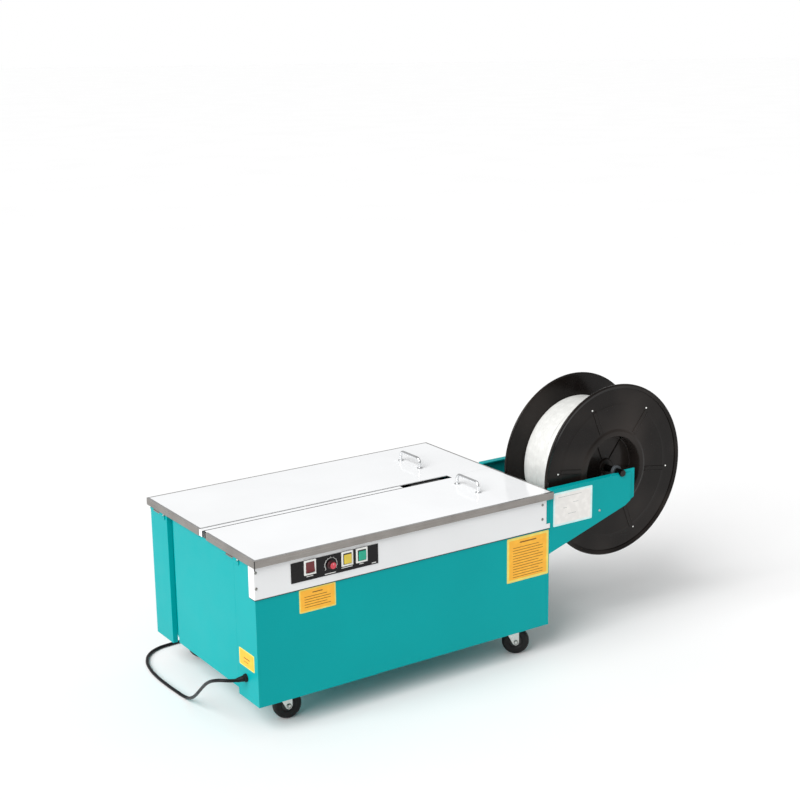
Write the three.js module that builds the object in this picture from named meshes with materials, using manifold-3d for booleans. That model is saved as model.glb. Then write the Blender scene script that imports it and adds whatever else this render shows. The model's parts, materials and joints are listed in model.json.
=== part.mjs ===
// Semi-automatic strapping machine with a low table, built in millimetres with +Z up.
// Inside the machine group, X runs along the table to the reel, Y runs to the back,
// x = 0 and y = 0 are the middle of the table, and z = 0 is the floor.
// The group is shifted so that the origin is under the middle of the whole machine.
import * as THREE from 'three';
import { mergeVertices } from 'three/addons/utils/BufferGeometryUtils.js';
import Module from 'manifold-3d';

const wasm = await Module();
wasm.setup();

// ---- driving dimensions ----
const TABLE_LENGTH = 854;
const TABLE_DEPTH = 565;
const TABLE_HEIGHT = 434;
const TRIM_HEIGHT = 18;
const TRIM_SHEET = 1.4;
const TRIM_LIP = 6;
const LID_SHEET = 2;
const LID_RIB = 6;
const BODY_LENGTH = 843;
const BODY_DEPTH = 545;
const BODY_BOTTOM = 75;
const SIDE_BOTTOM = 90;
const SHEET = 2;
const GAP = 0.3;
const BAR = 20;
const TOP_BAR = 8;

const FRONT_RETURN = 98;
const REAR_RETURN = 93;
const GROOVE_FLOOR = 14;
const GROOVE_SLOPE = 22;
const GROOVE_DEPTH = 14;
const GROOVE_CLEAR = GROOVE_DEPTH + 1;

const SLOT_FRONT = -33;
const SLOT_BACK = -8;
const TRIM_FRONT = -46;
const TRIM_BACK = -12;
const SLOT_END = 294;
const SLIDEWAY_END = 141;
const SEAM = 0.6;

const FASCIA_HEIGHT = 96;
const FASCIA_RIGHT = 410;
const FASCIA_RETURN = 27;
const FASCIA_STRIP = 12;
const PLATE = { left: -330, right: -96, top: 29, bottom: 77.5, sheet: 1.2 };
const BEZEL = { width: 30.5, height: 35, lip: 3, sleeveW: 26, sleeveH: 30, holeW: 23, holeH: 27, depth: 18 };
const SWITCH_DROP = 46.5;
const ROCKER_X = -281.5;
const YELLOW_X = -182;
const GREEN_X = -142.5;
const KNOB_X = -225;
const KNOB_DROP = 52.5;
const KNOB_RADIUS = 10.5;
const KNOB_LENGTH = 12;

const FRONT_HINGE_Y = -165;
const REAR_HINGE_Y = 225;
const HINGE_CLEAR = 0.4;
const KNUCKLE_RADIUS = 3;
const PIN_RADIUS = 1.5;
const LUG_WIDTH = 34;
const LEAF_WIDTH = 72;
const LEAF_SHEET = 2;
const LEAF_HEIGHT = 9;

const HANDLE_X = 270;
const HANDLE_Y = 130;
const HANDLE_SPAN = 90;
const HANDLE_RISE = 30;
const HANDLE_ROD = 4;

const REEL_X = 663;
const REEL_RISE = 4;
const REEL_RADIUS = 230;
const REEL_FRONT = -242;
const REEL_BACK = -68;
const FLANGE_SHEET = 3;
const RIM_RADIUS = 4;
const HUB_RADIUS = 90;
const HUB_DEPTH = 40;
const CORE_RADIUS = 102;
const CORE_WALL = 6;
const STRAP_RADIUS = 170;
const SHAFT_RADIUS = 9;

const ARM_REACH = 708;
const ARM_SHEET = 3;
const ARM_TOP = 2;
const ARM_TIP = 68;
const ARM_ROOT = 167;
const ARM_CHAMFER = 677;
const ARM_FOLD = 18;
const REAR_ARM_Y = 35;

const CASTER_TRAIL = 12;
const WHEEL_RADIUS = 35;
const WHEEL_WIDTH = 24;

const CORD_RADIUS = 4;
const CORD_EXIT = new THREE.Vector3(-421.5, -214, 129);
const GLAND_LENGTH = 26;
const COIL_CENTRE = new THREE.Vector2(-240, 384);
const COIL_RADIUS = 44;
const COIL_HALF_WIDTH = 12.2;
const COIL_HEIGHT = 16.3;
const COIL_OUTER_TURN = 52;
const COIL_APPROACH = 32;

const HALF_LENGTH = TABLE_LENGTH / 2;
const HALF_DEPTH = TABLE_DEPTH / 2;
const HALF_BODY = BODY_LENGTH / 2;
const BODY_Y = BODY_DEPTH / 2;
const PANEL_TOP = TABLE_HEIGHT - TRIM_HEIGHT - 2;
const PAN_TOP = SIDE_BOTTOM + SHEET;
const FRAME_X = HALF_BODY - SHEET - 0.5;
const FRAME_Y = BODY_Y - SHEET - 0.5;
const FASCIA_BACK = -BODY_Y - GAP;
const FASCIA_FRONT = FASCIA_BACK - SHEET;
const PLATE_FRONT = FASCIA_FRONT - GAP - PLATE.sheet;
const SWITCH_Z = TABLE_HEIGHT - SWITCH_DROP;
const HINGE_X = -HALF_BODY - HINGE_CLEAR - KNUCKLE_RADIUS;
const HINGE_Z = TABLE_HEIGHT - TRIM_HEIGHT - 0.5 - KNUCKLE_RADIUS;
const REEL_Z = TABLE_HEIGHT + REEL_RISE;
const STRAP_MIDDLE = (REEL_FRONT + REEL_BACK) / 2;
const KNOB_FRONT = PLATE_FRONT - GAP - KNOB_LENGTH;
const ORIGIN_X = (REEL_X + REEL_RADIUS + HINGE_X - KNUCKLE_RADIUS) / 2;
const ORIGIN_Y = (KNOB_FRONT + HALF_DEPTH) / 2;

// ---- materials ----
function paint(color, roughness, metalness) {
  return new THREE.MeshStandardMaterial({ color, roughness, metalness });
}
const TEAL = [0x00a0a3, 0.35, 0.1];
const WHITE = [0xf2f4f5, 0.2, 0.0];
const STEEL = [0x8d8a86, 0.35, 0.9];
const ZINC = [0xc9ccca, 0.4, 0.8];
const CHROME = [0xe6e8ea, 0.08, 1.0];
const BLACK = [0x161412, 0.35, 0.0];
const DARK_STEEL = [0x2a2928, 0.35, 0.7];
const RUBBER = [0x1b1a1a, 0.7, 0.0];
const PALE = [0xe9e8e2, 0.4, 0.0];
const CAST = [0x5b5f62, 0.55, 0.6];

const machine = new THREE.Group();
machine.position.set(-ORIGIN_X, -ORIGIN_Y, 0);

function add(name, geometry, look) {
  const mesh = new THREE.Mesh(geometry, paint(...look));
  mesh.name = name;
  machine.add(mesh);
  return mesh;
}

// ---- shapes ----
function block(x0, x1, y0, y1, z0, z1) {
  const geometry = new THREE.BoxGeometry(x1 - x0, y1 - y0, z1 - z0);
  return geometry.translate((x0 + x1) / 2, (y0 + y1) / 2, (z0 + z1) / 2);
}

// A round bar centred on (x, y, z), along the named axis.
function rod(axis, radius, length, x, y, z, sides = 24) {
  const geometry = new THREE.CylinderGeometry(radius, radius, length, sides);
  if (axis === 'x') geometry.rotateZ(Math.PI / 2);
  if (axis === 'z') geometry.rotateX(Math.PI / 2);
  return geometry.translate(x, y, z);
}

function outline(points) {
  return new THREE.Shape(points.map(([u, v]) => new THREE.Vector2(u, v)));
}

// An outline in X and Z, made solid from y0 to y1.
function sheetXZ(points, y0, y1) {
  const options = { depth: y1 - y0, bevelEnabled: false };
  return new THREE.ExtrudeGeometry(outline(points), options).rotateX(Math.PI / 2).translate(0, y1, 0);
}

// An outline in X and Y, made solid from z0 to z1.
function sheetXY(points, z0, z1) {
  const options = { depth: z1 - z0, bevelEnabled: false };
  return new THREE.ExtrudeGeometry(outline(points), options).translate(0, 0, z0);
}

// An outline in Y and Z, made solid from x0 to x1.
function sheetYZ(points, x0, x1) {
  const options = { depth: x1 - x0, bevelEnabled: false };
  const geometry = new THREE.ExtrudeGeometry(outline(points), options);
  const turn = new THREE.Matrix4().makeBasis(
    new THREE.Vector3(0, 1, 0), new THREE.Vector3(0, 0, 1), new THREE.Vector3(1, 0, 0));
  return geometry.applyMatrix4(turn).translate(x0, 0, 0);
}

// A turned solid about the Y axis: the profile gives [radius, y] pairs and closes on itself.
function turnedY(profile, segments) {
  const points = profile.map(([r, y]) => new THREE.Vector2(r, y));
  if (points[0].x > 0) points.push(points[0].clone());
  return new THREE.LatheGeometry(points, segments);
}

function toSolid(geometry) {
  const bare = geometry.clone();
  bare.deleteAttribute('normal');
  bare.deleteAttribute('uv');
  const merged = mergeVertices(bare, 1e-4);
  const mesh = new wasm.Mesh({
    numProp: 3,
    vertProperties: new Float32Array(merged.attributes.position.array),
    triVerts: new Uint32Array(merged.index.array),
  });
  return new wasm.Manifold(mesh);
}

function toGeometry(solid) {
  const mesh = solid.getMesh();
  const geometry = new THREE.BufferGeometry();
  geometry.setAttribute('position', new THREE.BufferAttribute(mesh.vertProperties, 3));
  geometry.setIndex(new THREE.BufferAttribute(mesh.triVerts, 1));
  geometry.computeVertexNormals();
  return geometry;
}

// Joins the first list of shapes and cuts the second list out of them.
function weld(shapes, cuts = []) {
  let solid = toSolid(shapes[0]);
  for (const shape of shapes.slice(1)) solid = solid.add(toSolid(shape));
  for (const shape of cuts) solid = solid.subtract(toSolid(shape));
  return toGeometry(solid);
}

// ---- welded frame of square bar, with the rails that carry the head ----
const MID_RAIL = 180;
const BEAM_LEFT = 100;
const BEAM_RIGHT = 292;
const CROSS_X = 75;
const DRIVE_X = 362;

function chassisFrame() {
  const low = PAN_TOP + GAP;
  const bars = [];
  for (const x of [-FRAME_X, FRAME_X - BAR]) {
    for (const y of [-FRAME_Y, FRAME_Y - BAR]) bars.push(block(x, x + BAR, y, y + BAR, low, PANEL_TOP));
  }
  for (const x of [-FRAME_X + GROOVE_CLEAR, FRAME_X - BAR]) {
    bars.push(block(x, x + BAR, -FRAME_Y, FRAME_Y, PANEL_TOP - TOP_BAR, PANEL_TOP));
    bars.push(block(x, x + BAR, -FRAME_Y, FRAME_Y, low, low + BAR));
  }
  for (const y of [-FRAME_Y, FRAME_Y - BAR]) {
    bars.push(block(-FRAME_X, FRAME_X, y, y + BAR, PANEL_TOP - TOP_BAR, PANEL_TOP));
    bars.push(block(-FRAME_X, FRAME_X, y, y + BAR, low, low + BAR));
    bars.push(block(-FRAME_X, FRAME_X, y, y + BAR, MID_RAIL, MID_RAIL + BAR));
  }
  for (const x of [BEAM_LEFT, BEAM_RIGHT]) {
    bars.push(block(x, x + BAR, -FRAME_Y, FRAME_Y, MID_RAIL, MID_RAIL + BAR));
  }
  bars.push(block(CROSS_X, CROSS_X + BAR, -FRAME_Y, FRAME_Y, PANEL_TOP - TOP_BAR, PANEL_TOP));
  const middle = (SLOT_FRONT + SLOT_BACK) / 2;
  bars.push(block(-FRAME_X + GROOVE_CLEAR, CROSS_X, middle - BAR / 2, middle + BAR / 2,
    PANEL_TOP - TOP_BAR, PANEL_TOP));
  return weld(bars);
}
add('chassis_frame', chassisFrame(), TEAL);

const STEM_RADIUS = 6;
const casterPlaces = [
  { name: 'front_left', x: -329, y: -210, turn: -8 },
  { name: 'front_right', x: 339, y: -222, turn: -33 },
  { name: 'rear_left', x: -336, y: 222, turn: 0 },
  { name: 'rear_right', x: 336, y: 222, turn: 0 },
];
const stemHoles = casterPlaces.map(({ x, y }) =>
  rod('z', STEM_RADIUS + 0.6, BAR, x, y, SIDE_BOTTOM, 16));
const pan = block(-FRAME_X + GROOVE_CLEAR, FRAME_X, -FRAME_Y, FRAME_Y, SIDE_BOTTOM, PAN_TOP);
add('bottom_pan', weld([pan], stemHoles), TEAL);

// ---- cabinet panels ----
const HEM = 14;
const CONTROL_HOLE = [PLATE.left + 4, PLATE.right - 4, -BODY_Y - 1, -BODY_Y + SHEET + 1,
  TABLE_HEIGHT - PLATE.bottom + 4, TABLE_HEIGHT - PLATE.top - 1];
const GLAND_HOLE_RADIUS = 8;

// A folded panel across the machine: its face, two returns round the corners and a bottom hem.
function endPanel(side, returnDepth) {
  const outer = side * BODY_Y;
  const inner = side * (BODY_Y - SHEET);
  const back = side * (BODY_Y - returnDepth);
  const span = (a, b) => [Math.min(a, b), Math.max(a, b)];
  const shapes = [block(-HALF_BODY, HALF_BODY, ...span(inner, outer), BODY_BOTTOM, PANEL_TOP)];
  for (const end of [-1, 1]) {
    const wall = span(end * (HALF_BODY - SHEET), end * HALF_BODY);
    shapes.push(block(...wall, ...span(back, outer), BODY_BOTTOM, PANEL_TOP));
  }
  const hem = span(side * (BODY_Y - HEM), outer);
  shapes.push(block(-HALF_BODY, HALF_BODY, ...hem, BODY_BOTTOM, BODY_BOTTOM + SHEET));
  return shapes;
}
const glandHole = rod('x', GLAND_HOLE_RADIUS, 20, CORD_EXIT.x, CORD_EXIT.y, CORD_EXIT.z, 16);
add('front_panel', weld(endPanel(-1, FRONT_RETURN), [block(...CONTROL_HOLE), glandHole]), TEAL);

// The rear panel's left return ends in a flange that closes the side of the groove.
const SIDE_FRONT = FRONT_RETURN + 0.5 - BODY_Y;
const SIDE_BACK = BODY_Y - REAR_RETURN - 0.5;
add('rear_panel', weld([
  ...endPanel(1, REAR_RETURN),
  block(-HALF_BODY, -HALF_BODY + GROOVE_DEPTH - GAP, SIDE_BACK + 0.5, SIDE_BACK + 0.5 + SHEET,
    BODY_BOTTOM, PANEL_TOP),
]), TEAL);

// The left panel has a recessed upright groove beside the rear corner.
function leftPanel() {
  const x = -HALF_BODY;
  const slopeEnd = SIDE_BACK - GROOVE_FLOOR;
  const slopeStart = slopeEnd - GROOVE_SLOPE;
  return sheetXY([
    [x, SIDE_FRONT], [x + SHEET, SIDE_FRONT],
    [x + SHEET, slopeStart - 1], [x + SHEET + GROOVE_DEPTH, slopeEnd - 1],
    [x + SHEET + GROOVE_DEPTH, SIDE_BACK], [x + GROOVE_DEPTH, SIDE_BACK],
    [x + GROOVE_DEPTH, slopeEnd], [x, slopeStart],
  ], SIDE_BOTTOM, PANEL_TOP);
}
add('left_side_panel', leftPanel(), TEAL);

const STRAP_SLOT = { z: 262, height: 50, width: 46 };
const strapSlot = block(HALF_BODY - 10, HALF_BODY + 10,
  STRAP_MIDDLE - STRAP_SLOT.width / 2, STRAP_MIDDLE + STRAP_SLOT.width / 2,
  STRAP_SLOT.z - STRAP_SLOT.height / 2, STRAP_SLOT.z + STRAP_SLOT.height / 2);
const DANCER = { x: 444, z: 318, length: 62, roller: 14, width: 26 };
const dancerFoot = DANCER.z - DANCER.length;
const cheek = STRAP_MIDDLE + DANCER.width / 2 + 4;
add('right_side_panel', weld([
  block(HALF_BODY - SHEET, HALF_BODY, SIDE_FRONT, SIDE_BACK, SIDE_BOTTOM, PANEL_TOP),
  block(HALF_BODY - 0.5, DANCER.x + 8, cheek + 12, cheek + 16, DANCER.z - 12, DANCER.z + 12),
  rod('y', 4, 30, DANCER.x, cheek - 1, DANCER.z, 12),
], [strapSlot]), TEAL);

// ---- control fascia, plate, switches and knob ----
const switchPlaces = { rocker: ROCKER_X, yellow: YELLOW_X, green: GREEN_X };

function switchHoles() {
  const halfW = BEZEL.sleeveW / 2 + GAP;
  const halfH = BEZEL.sleeveH / 2 + GAP;
  const holes = Object.values(switchPlaces).map((x) =>
    block(x - halfW, x + halfW, PLATE_FRONT - 1, FASCIA_BACK + 1, SWITCH_Z - halfH, SWITCH_Z + halfH));
  holes.push(rod('y', 5, 20, KNOB_X, FASCIA_FRONT, TABLE_HEIGHT - KNOB_DROP, 16));
  return holes;
}
const fasciaLeft = -HALF_BODY - GAP - SHEET;
const fasciaLow = TABLE_HEIGHT - FASCIA_HEIGHT;
add('control_fascia', weld([
  block(fasciaLeft, FASCIA_RIGHT, FASCIA_FRONT, FASCIA_BACK, fasciaLow, PANEL_TOP),
  block(FASCIA_RIGHT - 1, HALF_BODY, FASCIA_FRONT, FASCIA_BACK, fasciaLow, fasciaLow + FASCIA_STRIP),
  block(fasciaLeft, fasciaLeft + SHEET, FASCIA_FRONT, FASCIA_FRONT + FASCIA_RETURN, fasciaLow, PANEL_TOP),
], switchHoles()), WHITE);
add('control_plate', weld([
  block(PLATE.left, PLATE.right, PLATE_FRONT, PLATE_FRONT + PLATE.sheet,
    TABLE_HEIGHT - PLATE.bottom, TABLE_HEIGHT - PLATE.top),
], switchHoles()), BLACK);

function bezel(x) {
  const face = PLATE_FRONT - GAP;
  const around = (w, h, y0, y1) => block(x - w / 2, x + w / 2, y0, y1, SWITCH_Z - h / 2, SWITCH_Z + h / 2);
  return weld([
    around(BEZEL.width, BEZEL.height, face - BEZEL.lip, face),
    around(BEZEL.sleeveW, BEZEL.sleeveH, face - 1, face + BEZEL.depth),
  ], [around(BEZEL.holeW, BEZEL.holeH, face - 10, face + BEZEL.depth + 10)]);
}
for (const [name, x] of Object.entries(switchPlaces)) add(`${name}_bezel`, bezel(x), PALE);

// The rocker turns about a line along X, and rests with its upper half pressed in.
const ROCKER_PIVOT_Y = PLATE_FRONT + 4.5;
const ROCKER_REST = THREE.MathUtils.degToRad(8);
const rockerShape = sheetYZ([
  [-9.4, 11.8], [-8, 0], [-9.4, -11.8], [-3, -11.8], [5, -6], [5, 6], [-3, 11.8],
], -BEZEL.holeW / 2 + GAP, BEZEL.holeW / 2 - GAP);
rockerShape.rotateX(-ROCKER_REST).translate(ROCKER_X, ROCKER_PIVOT_Y, SWITCH_Z);
add('power_rocker', rockerShape, [0x7d2a2f, 0.3, 0.0]);

function button(x) {
  const halfW = BEZEL.holeW / 2 - GAP;
  const halfH = BEZEL.holeH / 2 - GAP;
  const front = PLATE_FRONT - GAP - BEZEL.lip - 2.2;
  return block(x - halfW, x + halfW, front, front + 17, SWITCH_Z - halfH, SWITCH_Z + halfH);
}
add('feed_button_yellow', button(YELLOW_X), [0xe0cd57, 0.3, 0.0]);
add('reset_button_green', button(GREEN_X), [0x18a583, 0.3, 0.0]);

const KNOB_STEM = 3;
const knobShape = turnedY([
  [0, KNOB_FRONT], [KNOB_RADIUS - 2.2, KNOB_FRONT], [KNOB_RADIUS - 1.2, KNOB_FRONT + 1],
  [KNOB_RADIUS - 0.6, PLATE_FRONT - 4],
  [KNOB_RADIUS, PLATE_FRONT - 3], [KNOB_RADIUS, PLATE_FRONT - GAP], [KNOB_STEM, PLATE_FRONT - GAP],
  [KNOB_STEM, FASCIA_BACK + 12], [0, FASCIA_BACK + 12],
], 24).translate(KNOB_X, 0, TABLE_HEIGHT - KNOB_DROP);
add('tension_knob', knobShape, [0xc9485a, 0.35, 0.0]);

// ---- the two table lids ----
const LID_EDGE_X = HALF_LENGTH - TRIM_LIP - GAP;
const LID_EDGE_Y = HALF_DEPTH - TRIM_LIP - GAP;
const LID_TOP = TABLE_HEIGHT;
const RIB_WIDTH = 16;
const RIB_SHARES = [0.4, 0.8];

function tableLid(side) {
  const outer = side * LID_EDGE_Y;
  const slotEdge = side < 0 ? SLOT_FRONT : SLOT_BACK;
  const seamEdge = (SLOT_FRONT + SLOT_BACK) / 2 + side * SEAM / 2;
  const corners = [[-LID_EDGE_X, outer], [LID_EDGE_X, outer], [LID_EDGE_X, seamEdge],
    [SLOT_END, seamEdge], [SLOT_END, slotEdge], [-LID_EDGE_X, slotEdge]];
  const shapes = [sheetXY(side < 0 ? corners : corners.reverse(), LID_TOP - LID_SHEET, LID_TOP)];
  const low = LID_TOP - LID_SHEET - LID_RIB;
  const ribs = RIB_SHARES.map((share) => THREE.MathUtils.lerp(slotEdge, outer, share));
  const ribX = LID_EDGE_X - 20;
  for (const y of ribs) {
    shapes.push(block(-ribX, ribX, y - RIB_WIDTH / 2, y + RIB_WIDTH / 2, low, LID_TOP - 1));
  }
  for (const x of [-ribX, -RIB_WIDTH / 2, ribX - RIB_WIDTH]) {
    shapes.push(block(x, x + RIB_WIDTH, Math.min(...ribs), Math.max(...ribs), low, LID_TOP - 1));
  }
  return weld(shapes);
}

// The bright edge strip round a lid, folded over its top, with the eye of its hinge.
function lidTrim(side) {
  const low = TABLE_HEIGHT - TRIM_HEIGHT;
  const slotEdge = side < 0 ? TRIM_FRONT : TRIM_BACK;
  const seamEdge = (SLOT_FRONT + SLOT_BACK) / 2 + side * SEAM / 2;
  const edge = side * HALF_DEPTH;
  const hingeY = side < 0 ? FRONT_HINGE_Y : REAR_HINGE_Y;
  const bracket = (width) => [[-HALF_LENGTH, slotEdge], [-HALF_LENGTH, edge], [HALF_LENGTH, edge],
    [HALF_LENGTH, seamEdge], [HALF_LENGTH - width, seamEdge], [HALF_LENGTH - width, edge - side * width],
    [-HALF_LENGTH + width, edge - side * width], [-HALF_LENGTH + width, slotEdge]];
  return weld([
    sheetXY(bracket(TRIM_LIP), TABLE_HEIGHT - TRIM_SHEET, TABLE_HEIGHT),
    sheetXY(bracket(TRIM_SHEET), low, TABLE_HEIGHT - TRIM_SHEET / 2),
    rod('y', KNUCKLE_RADIUS, LUG_WIDTH, HINGE_X, hingeY, HINGE_Z, 16),
    block(-HALF_LENGTH + 0.5, HINGE_X + 0.8, hingeY - LUG_WIDTH / 2, hingeY + LUG_WIDTH / 2,
      HINGE_Z, low + 4),
  ], [rod('y', PIN_RADIUS + 0.4, LUG_WIDTH + 10, HINGE_X, hingeY, HINGE_Z, 16)]);
}

// The fixed leaf on the cabinet's left wall, with its two knuckles and the pin, under the trim's edge.
function hingeBase(side) {
  const y = side < 0 ? FRONT_HINGE_Y : REAR_HINGE_Y;
  const wall = -HALF_BODY - GAP;
  const half = LEAF_WIDTH / 2;
  const leafTop = HINGE_Z - KNUCKLE_RADIUS - 0.6;
  const shapes = [
    block(wall - LEAF_SHEET, wall, y - half, y + half, leafTop - LEAF_HEIGHT, leafTop),
    rod('y', PIN_RADIUS, LEAF_WIDTH, HINGE_X, y, HINGE_Z, 12),
  ];
  const width = (LEAF_WIDTH - LUG_WIDTH) / 2 - 0.5;
  for (const end of [-1, 1]) {
    const middle = y + end * (half - width / 2);
    shapes.push(rod('y', KNUCKLE_RADIUS, width, HINGE_X, middle, HINGE_Z, 16));
    shapes.push(block(wall - LEAF_SHEET, wall, middle - width / 2, middle + width / 2, leafTop - 1, HINGE_Z));
  }
  return weld(shapes);
}

// A bent rod handle, from one foot up, across and down to the other.
function liftHandle(side) {
  const path = new THREE.CurvePath();
  const half = HANDLE_SPAN / 2;
  const top = TABLE_HEIGHT + HANDLE_RISE - HANDLE_ROD;
  const foot = TABLE_HEIGHT + GAP;
  const bend = 12;
  const at = (y, z) => new THREE.Vector3(HANDLE_X, side * HANDLE_Y + y, z);
  path.add(new THREE.LineCurve3(at(-half, foot), at(-half, top - bend)));
  path.add(new THREE.QuadraticBezierCurve3(at(-half, top - bend), at(-half, top), at(bend - half, top)));
  path.add(new THREE.LineCurve3(at(bend - half, top), at(half - bend, top)));
  path.add(new THREE.QuadraticBezierCurve3(at(half - bend, top), at(half, top), at(half, top - bend)));
  path.add(new THREE.LineCurve3(at(half, top - bend), at(half, foot)));
  return tube(path, HANDLE_ROD, 8, 18);
}

function tube(path, radius, sides, steps) {
  const section = new THREE.Shape(Array.from({ length: sides }, (_, i) => {
    const angle = (2 * Math.PI * i) / sides;
    return new THREE.Vector2(radius * Math.cos(angle), radius * Math.sin(angle));
  }));
  return new THREE.ExtrudeGeometry(section, { steps, extrudePath: path, bevelEnabled: false });
}

for (const [name, side] of [['front', -1], ['rear', 1]]) {
  add(`${name}_table_lid`, tableLid(side), WHITE);
  add(`${name}_lid_trim`, lidTrim(side), STEEL);
  add(`${name}_hinge_base`, hingeBase(side), TEAL);
  add(`${name}_lift_handle`, liftHandle(side), CHROME);
}

// ---- strap slideway between the lids ----
const slideFront = SLOT_FRONT + 5.5;
const slideBack = TRIM_BACK - 0.8;
const slideTop = TABLE_HEIGHT - 0.6;
add('strap_slideway', weld([
  block(-HALF_LENGTH, SLIDEWAY_END, slideFront, slideBack, slideTop - 1.5, slideTop),
  block(-HALF_LENGTH, -HALF_LENGTH + 1.5, slideFront, slideBack, TABLE_HEIGHT - TRIM_HEIGHT + 2, slideTop),
  block(-HALF_BODY, SLIDEWAY_END, slideFront, slideFront + 1.5, PANEL_TOP + GAP, slideTop),
  block(-HALF_BODY, SLIDEWAY_END, slideBack - 1.5, slideBack, PANEL_TOP + GAP, slideTop),
]), WHITE);

// ---- strapping head below the open slot ----
const HEATER = { x: 218, y: -110, z: TABLE_HEIGHT - 68, reach: 72 };
const HEAD = { left: 148, right: 288, front: -76, back: 18, wall: 10, base: MID_RAIL + BAR + GAP };
const CAM_Z = TABLE_HEIGHT - 98;
const CAM_RADIUS = 22;
const CAM_SHAFT = 7;
const STRAP_Y = (SLOT_FRONT + SLOT_BACK) / 2;
const GRIP_TOP = TABLE_HEIGHT - 14;
const GRIP_LOW = CAM_Z + CAM_RADIUS + 1;
const FEED_X = 116;
const FEED_Z = TABLE_HEIGHT - 66;
const FEED_RADIUS = 24;

function headFrame() {
  const { left, right, front, back, wall, base } = HEAD;
  const top = TABLE_HEIGHT - 22;
  const shapes = [
    block(BEAM_LEFT, DRIVE_X + 32, front, back, base, base + 8),
    block(left, left + wall, front, back, base, top),
    block(right - wall, right, front, back, base, top),
    block(left, right, front, front + wall, top - 54, top - 12),
    block(left, right, back - wall, back, top - 54, top - 12),
    block(left - 42, left + 1, back - wall, back, FEED_Z - 22, FEED_Z + 22),
    block(HEATER.x - 20, HEATER.x + 20, HEATER.y - 12, front + 1, HEATER.z - 8, HEATER.z - GAP),
  ];
  const cuts = [
    rod('x', CAM_SHAFT + 0.6, right - left + 40, (left + right) / 2, STRAP_Y, CAM_Z, 20),
    rod('y', 5.6, 60, FEED_X, back, FEED_Z, 16),
    block(left - 5, left + wall + 5, STRAP_Y - 10, STRAP_Y + 10, TABLE_HEIGHT - 30, TABLE_HEIGHT),
  ];
  return weld(shapes, cuts);
}
add('head_frame', headFrame(), CAST);

const CAM_PLACES = [181, 218, 255];
const CAM_WIDTH = 12;
const CAM_OFFSET = 6;
const camShaftRight = 330;
add('cam_shaft', weld([
  rod('x', CAM_SHAFT, camShaftRight - 138, (camShaftRight + 138) / 2, STRAP_Y, CAM_Z, 16),
  ...CAM_PLACES.map((x, i) => {
    const turn = (2 * Math.PI * i) / 3;
    const shape = rod('x', CAM_RADIUS - CAM_OFFSET, CAM_WIDTH, x, 0, 0, 24);
    return shape.translate(0, STRAP_Y + CAM_OFFSET * Math.cos(turn), CAM_Z + CAM_OFFSET * Math.sin(turn));
  }),
]), STEEL);

const GRIPPER_HALF = 11;
const GRIPPERS = [
  { name: 'left_gripper', x: CAM_PLACES[0], half: 12 },
  { name: 'centre_press', x: CAM_PLACES[1], half: 17 },
  { name: 'right_gripper', x: CAM_PLACES[2], half: 12 },
];
for (const { name, x, half } of GRIPPERS) {
  const across = [STRAP_Y - GRIPPER_HALF, STRAP_Y + GRIPPER_HALF];
  add(name, block(x - half, x + half, ...across, GRIP_LOW, GRIP_TOP), DARK_STEEL);
}
const ANVIL = { x0: 172, x1: 264, half: 14, low: GRIP_TOP + 5.5, high: TABLE_HEIGHT - 4 };
const anvilY = [STRAP_Y - ANVIL.half, STRAP_Y + ANVIL.half];
add('anvil_slide', block(ANVIL.x0, ANVIL.x1, ...anvilY, ANVIL.low, ANVIL.high), DARK_STEEL);

// The heater blade is a thin tongue on a post; its carriage runs on the shelf of the head.
const BLADE_LOW = TABLE_HEIGHT - 10;
const BLADE_THICKNESS = 1.1;
const BLADE_TOP = BLADE_LOW + BLADE_THICKNESS;
add('heater_carriage', weld([
  block(HEATER.x - 15, HEATER.x + 15, HEATER.y - 6, HEATER.y + 6, HEATER.z, HEATER.z + 16),
  block(HEATER.x - 6, HEATER.x + 6, HEATER.y - 3, HEATER.y + 3, HEATER.z + 8, BLADE_TOP),
  block(HEATER.x - 12, HEATER.x + 12, HEATER.y - 3, HEATER.y + HEATER.reach, BLADE_LOW, BLADE_TOP),
]), ZINC);

add('feed_roller', weld([
  rod('y', FEED_RADIUS, 16, FEED_X, STRAP_Y, FEED_Z, 24),
  rod('y', 5, 60, FEED_X, STRAP_Y + 26, FEED_Z, 12),
]), CAST);

// ---- drive: motor, belt and gearbox ----
const MOTOR_Z = 150;
const MOTOR_RADIUS = 44;
const GEAR_Z = CAM_Z;
const PULLEY_Y = -98;
const MOTOR_PULLEY = 18;
const GEAR_PULLEY = 36;
const PULLEY_WIDTH = 14;

function beltPulley(radius, z, shaftEnd) {
  const front = PULLEY_Y - PULLEY_WIDTH / 2;
  return weld([
    rod('y', radius, PULLEY_WIDTH, DRIVE_X, PULLEY_Y, z, 28),
    rod('y', 6, shaftEnd - front, DRIVE_X, (shaftEnd + front) / 2, z, 12),
  ]);
}
const motorFront = -66;
add('main_motor', weld([
  rod('y', MOTOR_RADIUS, 150, DRIVE_X - 4, motorFront + 75, MOTOR_Z, 28),
  block(DRIVE_X - 42, DRIVE_X + 34, motorFront + 20, motorFront + 130, PAN_TOP + GAP, MOTOR_Z - 24),
]), CAST);
add('gearbox', weld([
  block(camShaftRight + 3, DRIVE_X + 32, -66, 20, GEAR_Z - 36, GEAR_Z + 36),
  block(camShaftRight + 12, DRIVE_X + 22, -56, 10, HEAD.base + 8 + GAP, GEAR_Z - 30),
]), CAST);
add('motor_pulley', beltPulley(MOTOR_PULLEY, MOTOR_Z, motorFront - 1), STEEL);
add('gearbox_pulley', beltPulley(GEAR_PULLEY, GEAR_Z, motorFront - 1), STEEL);

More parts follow.
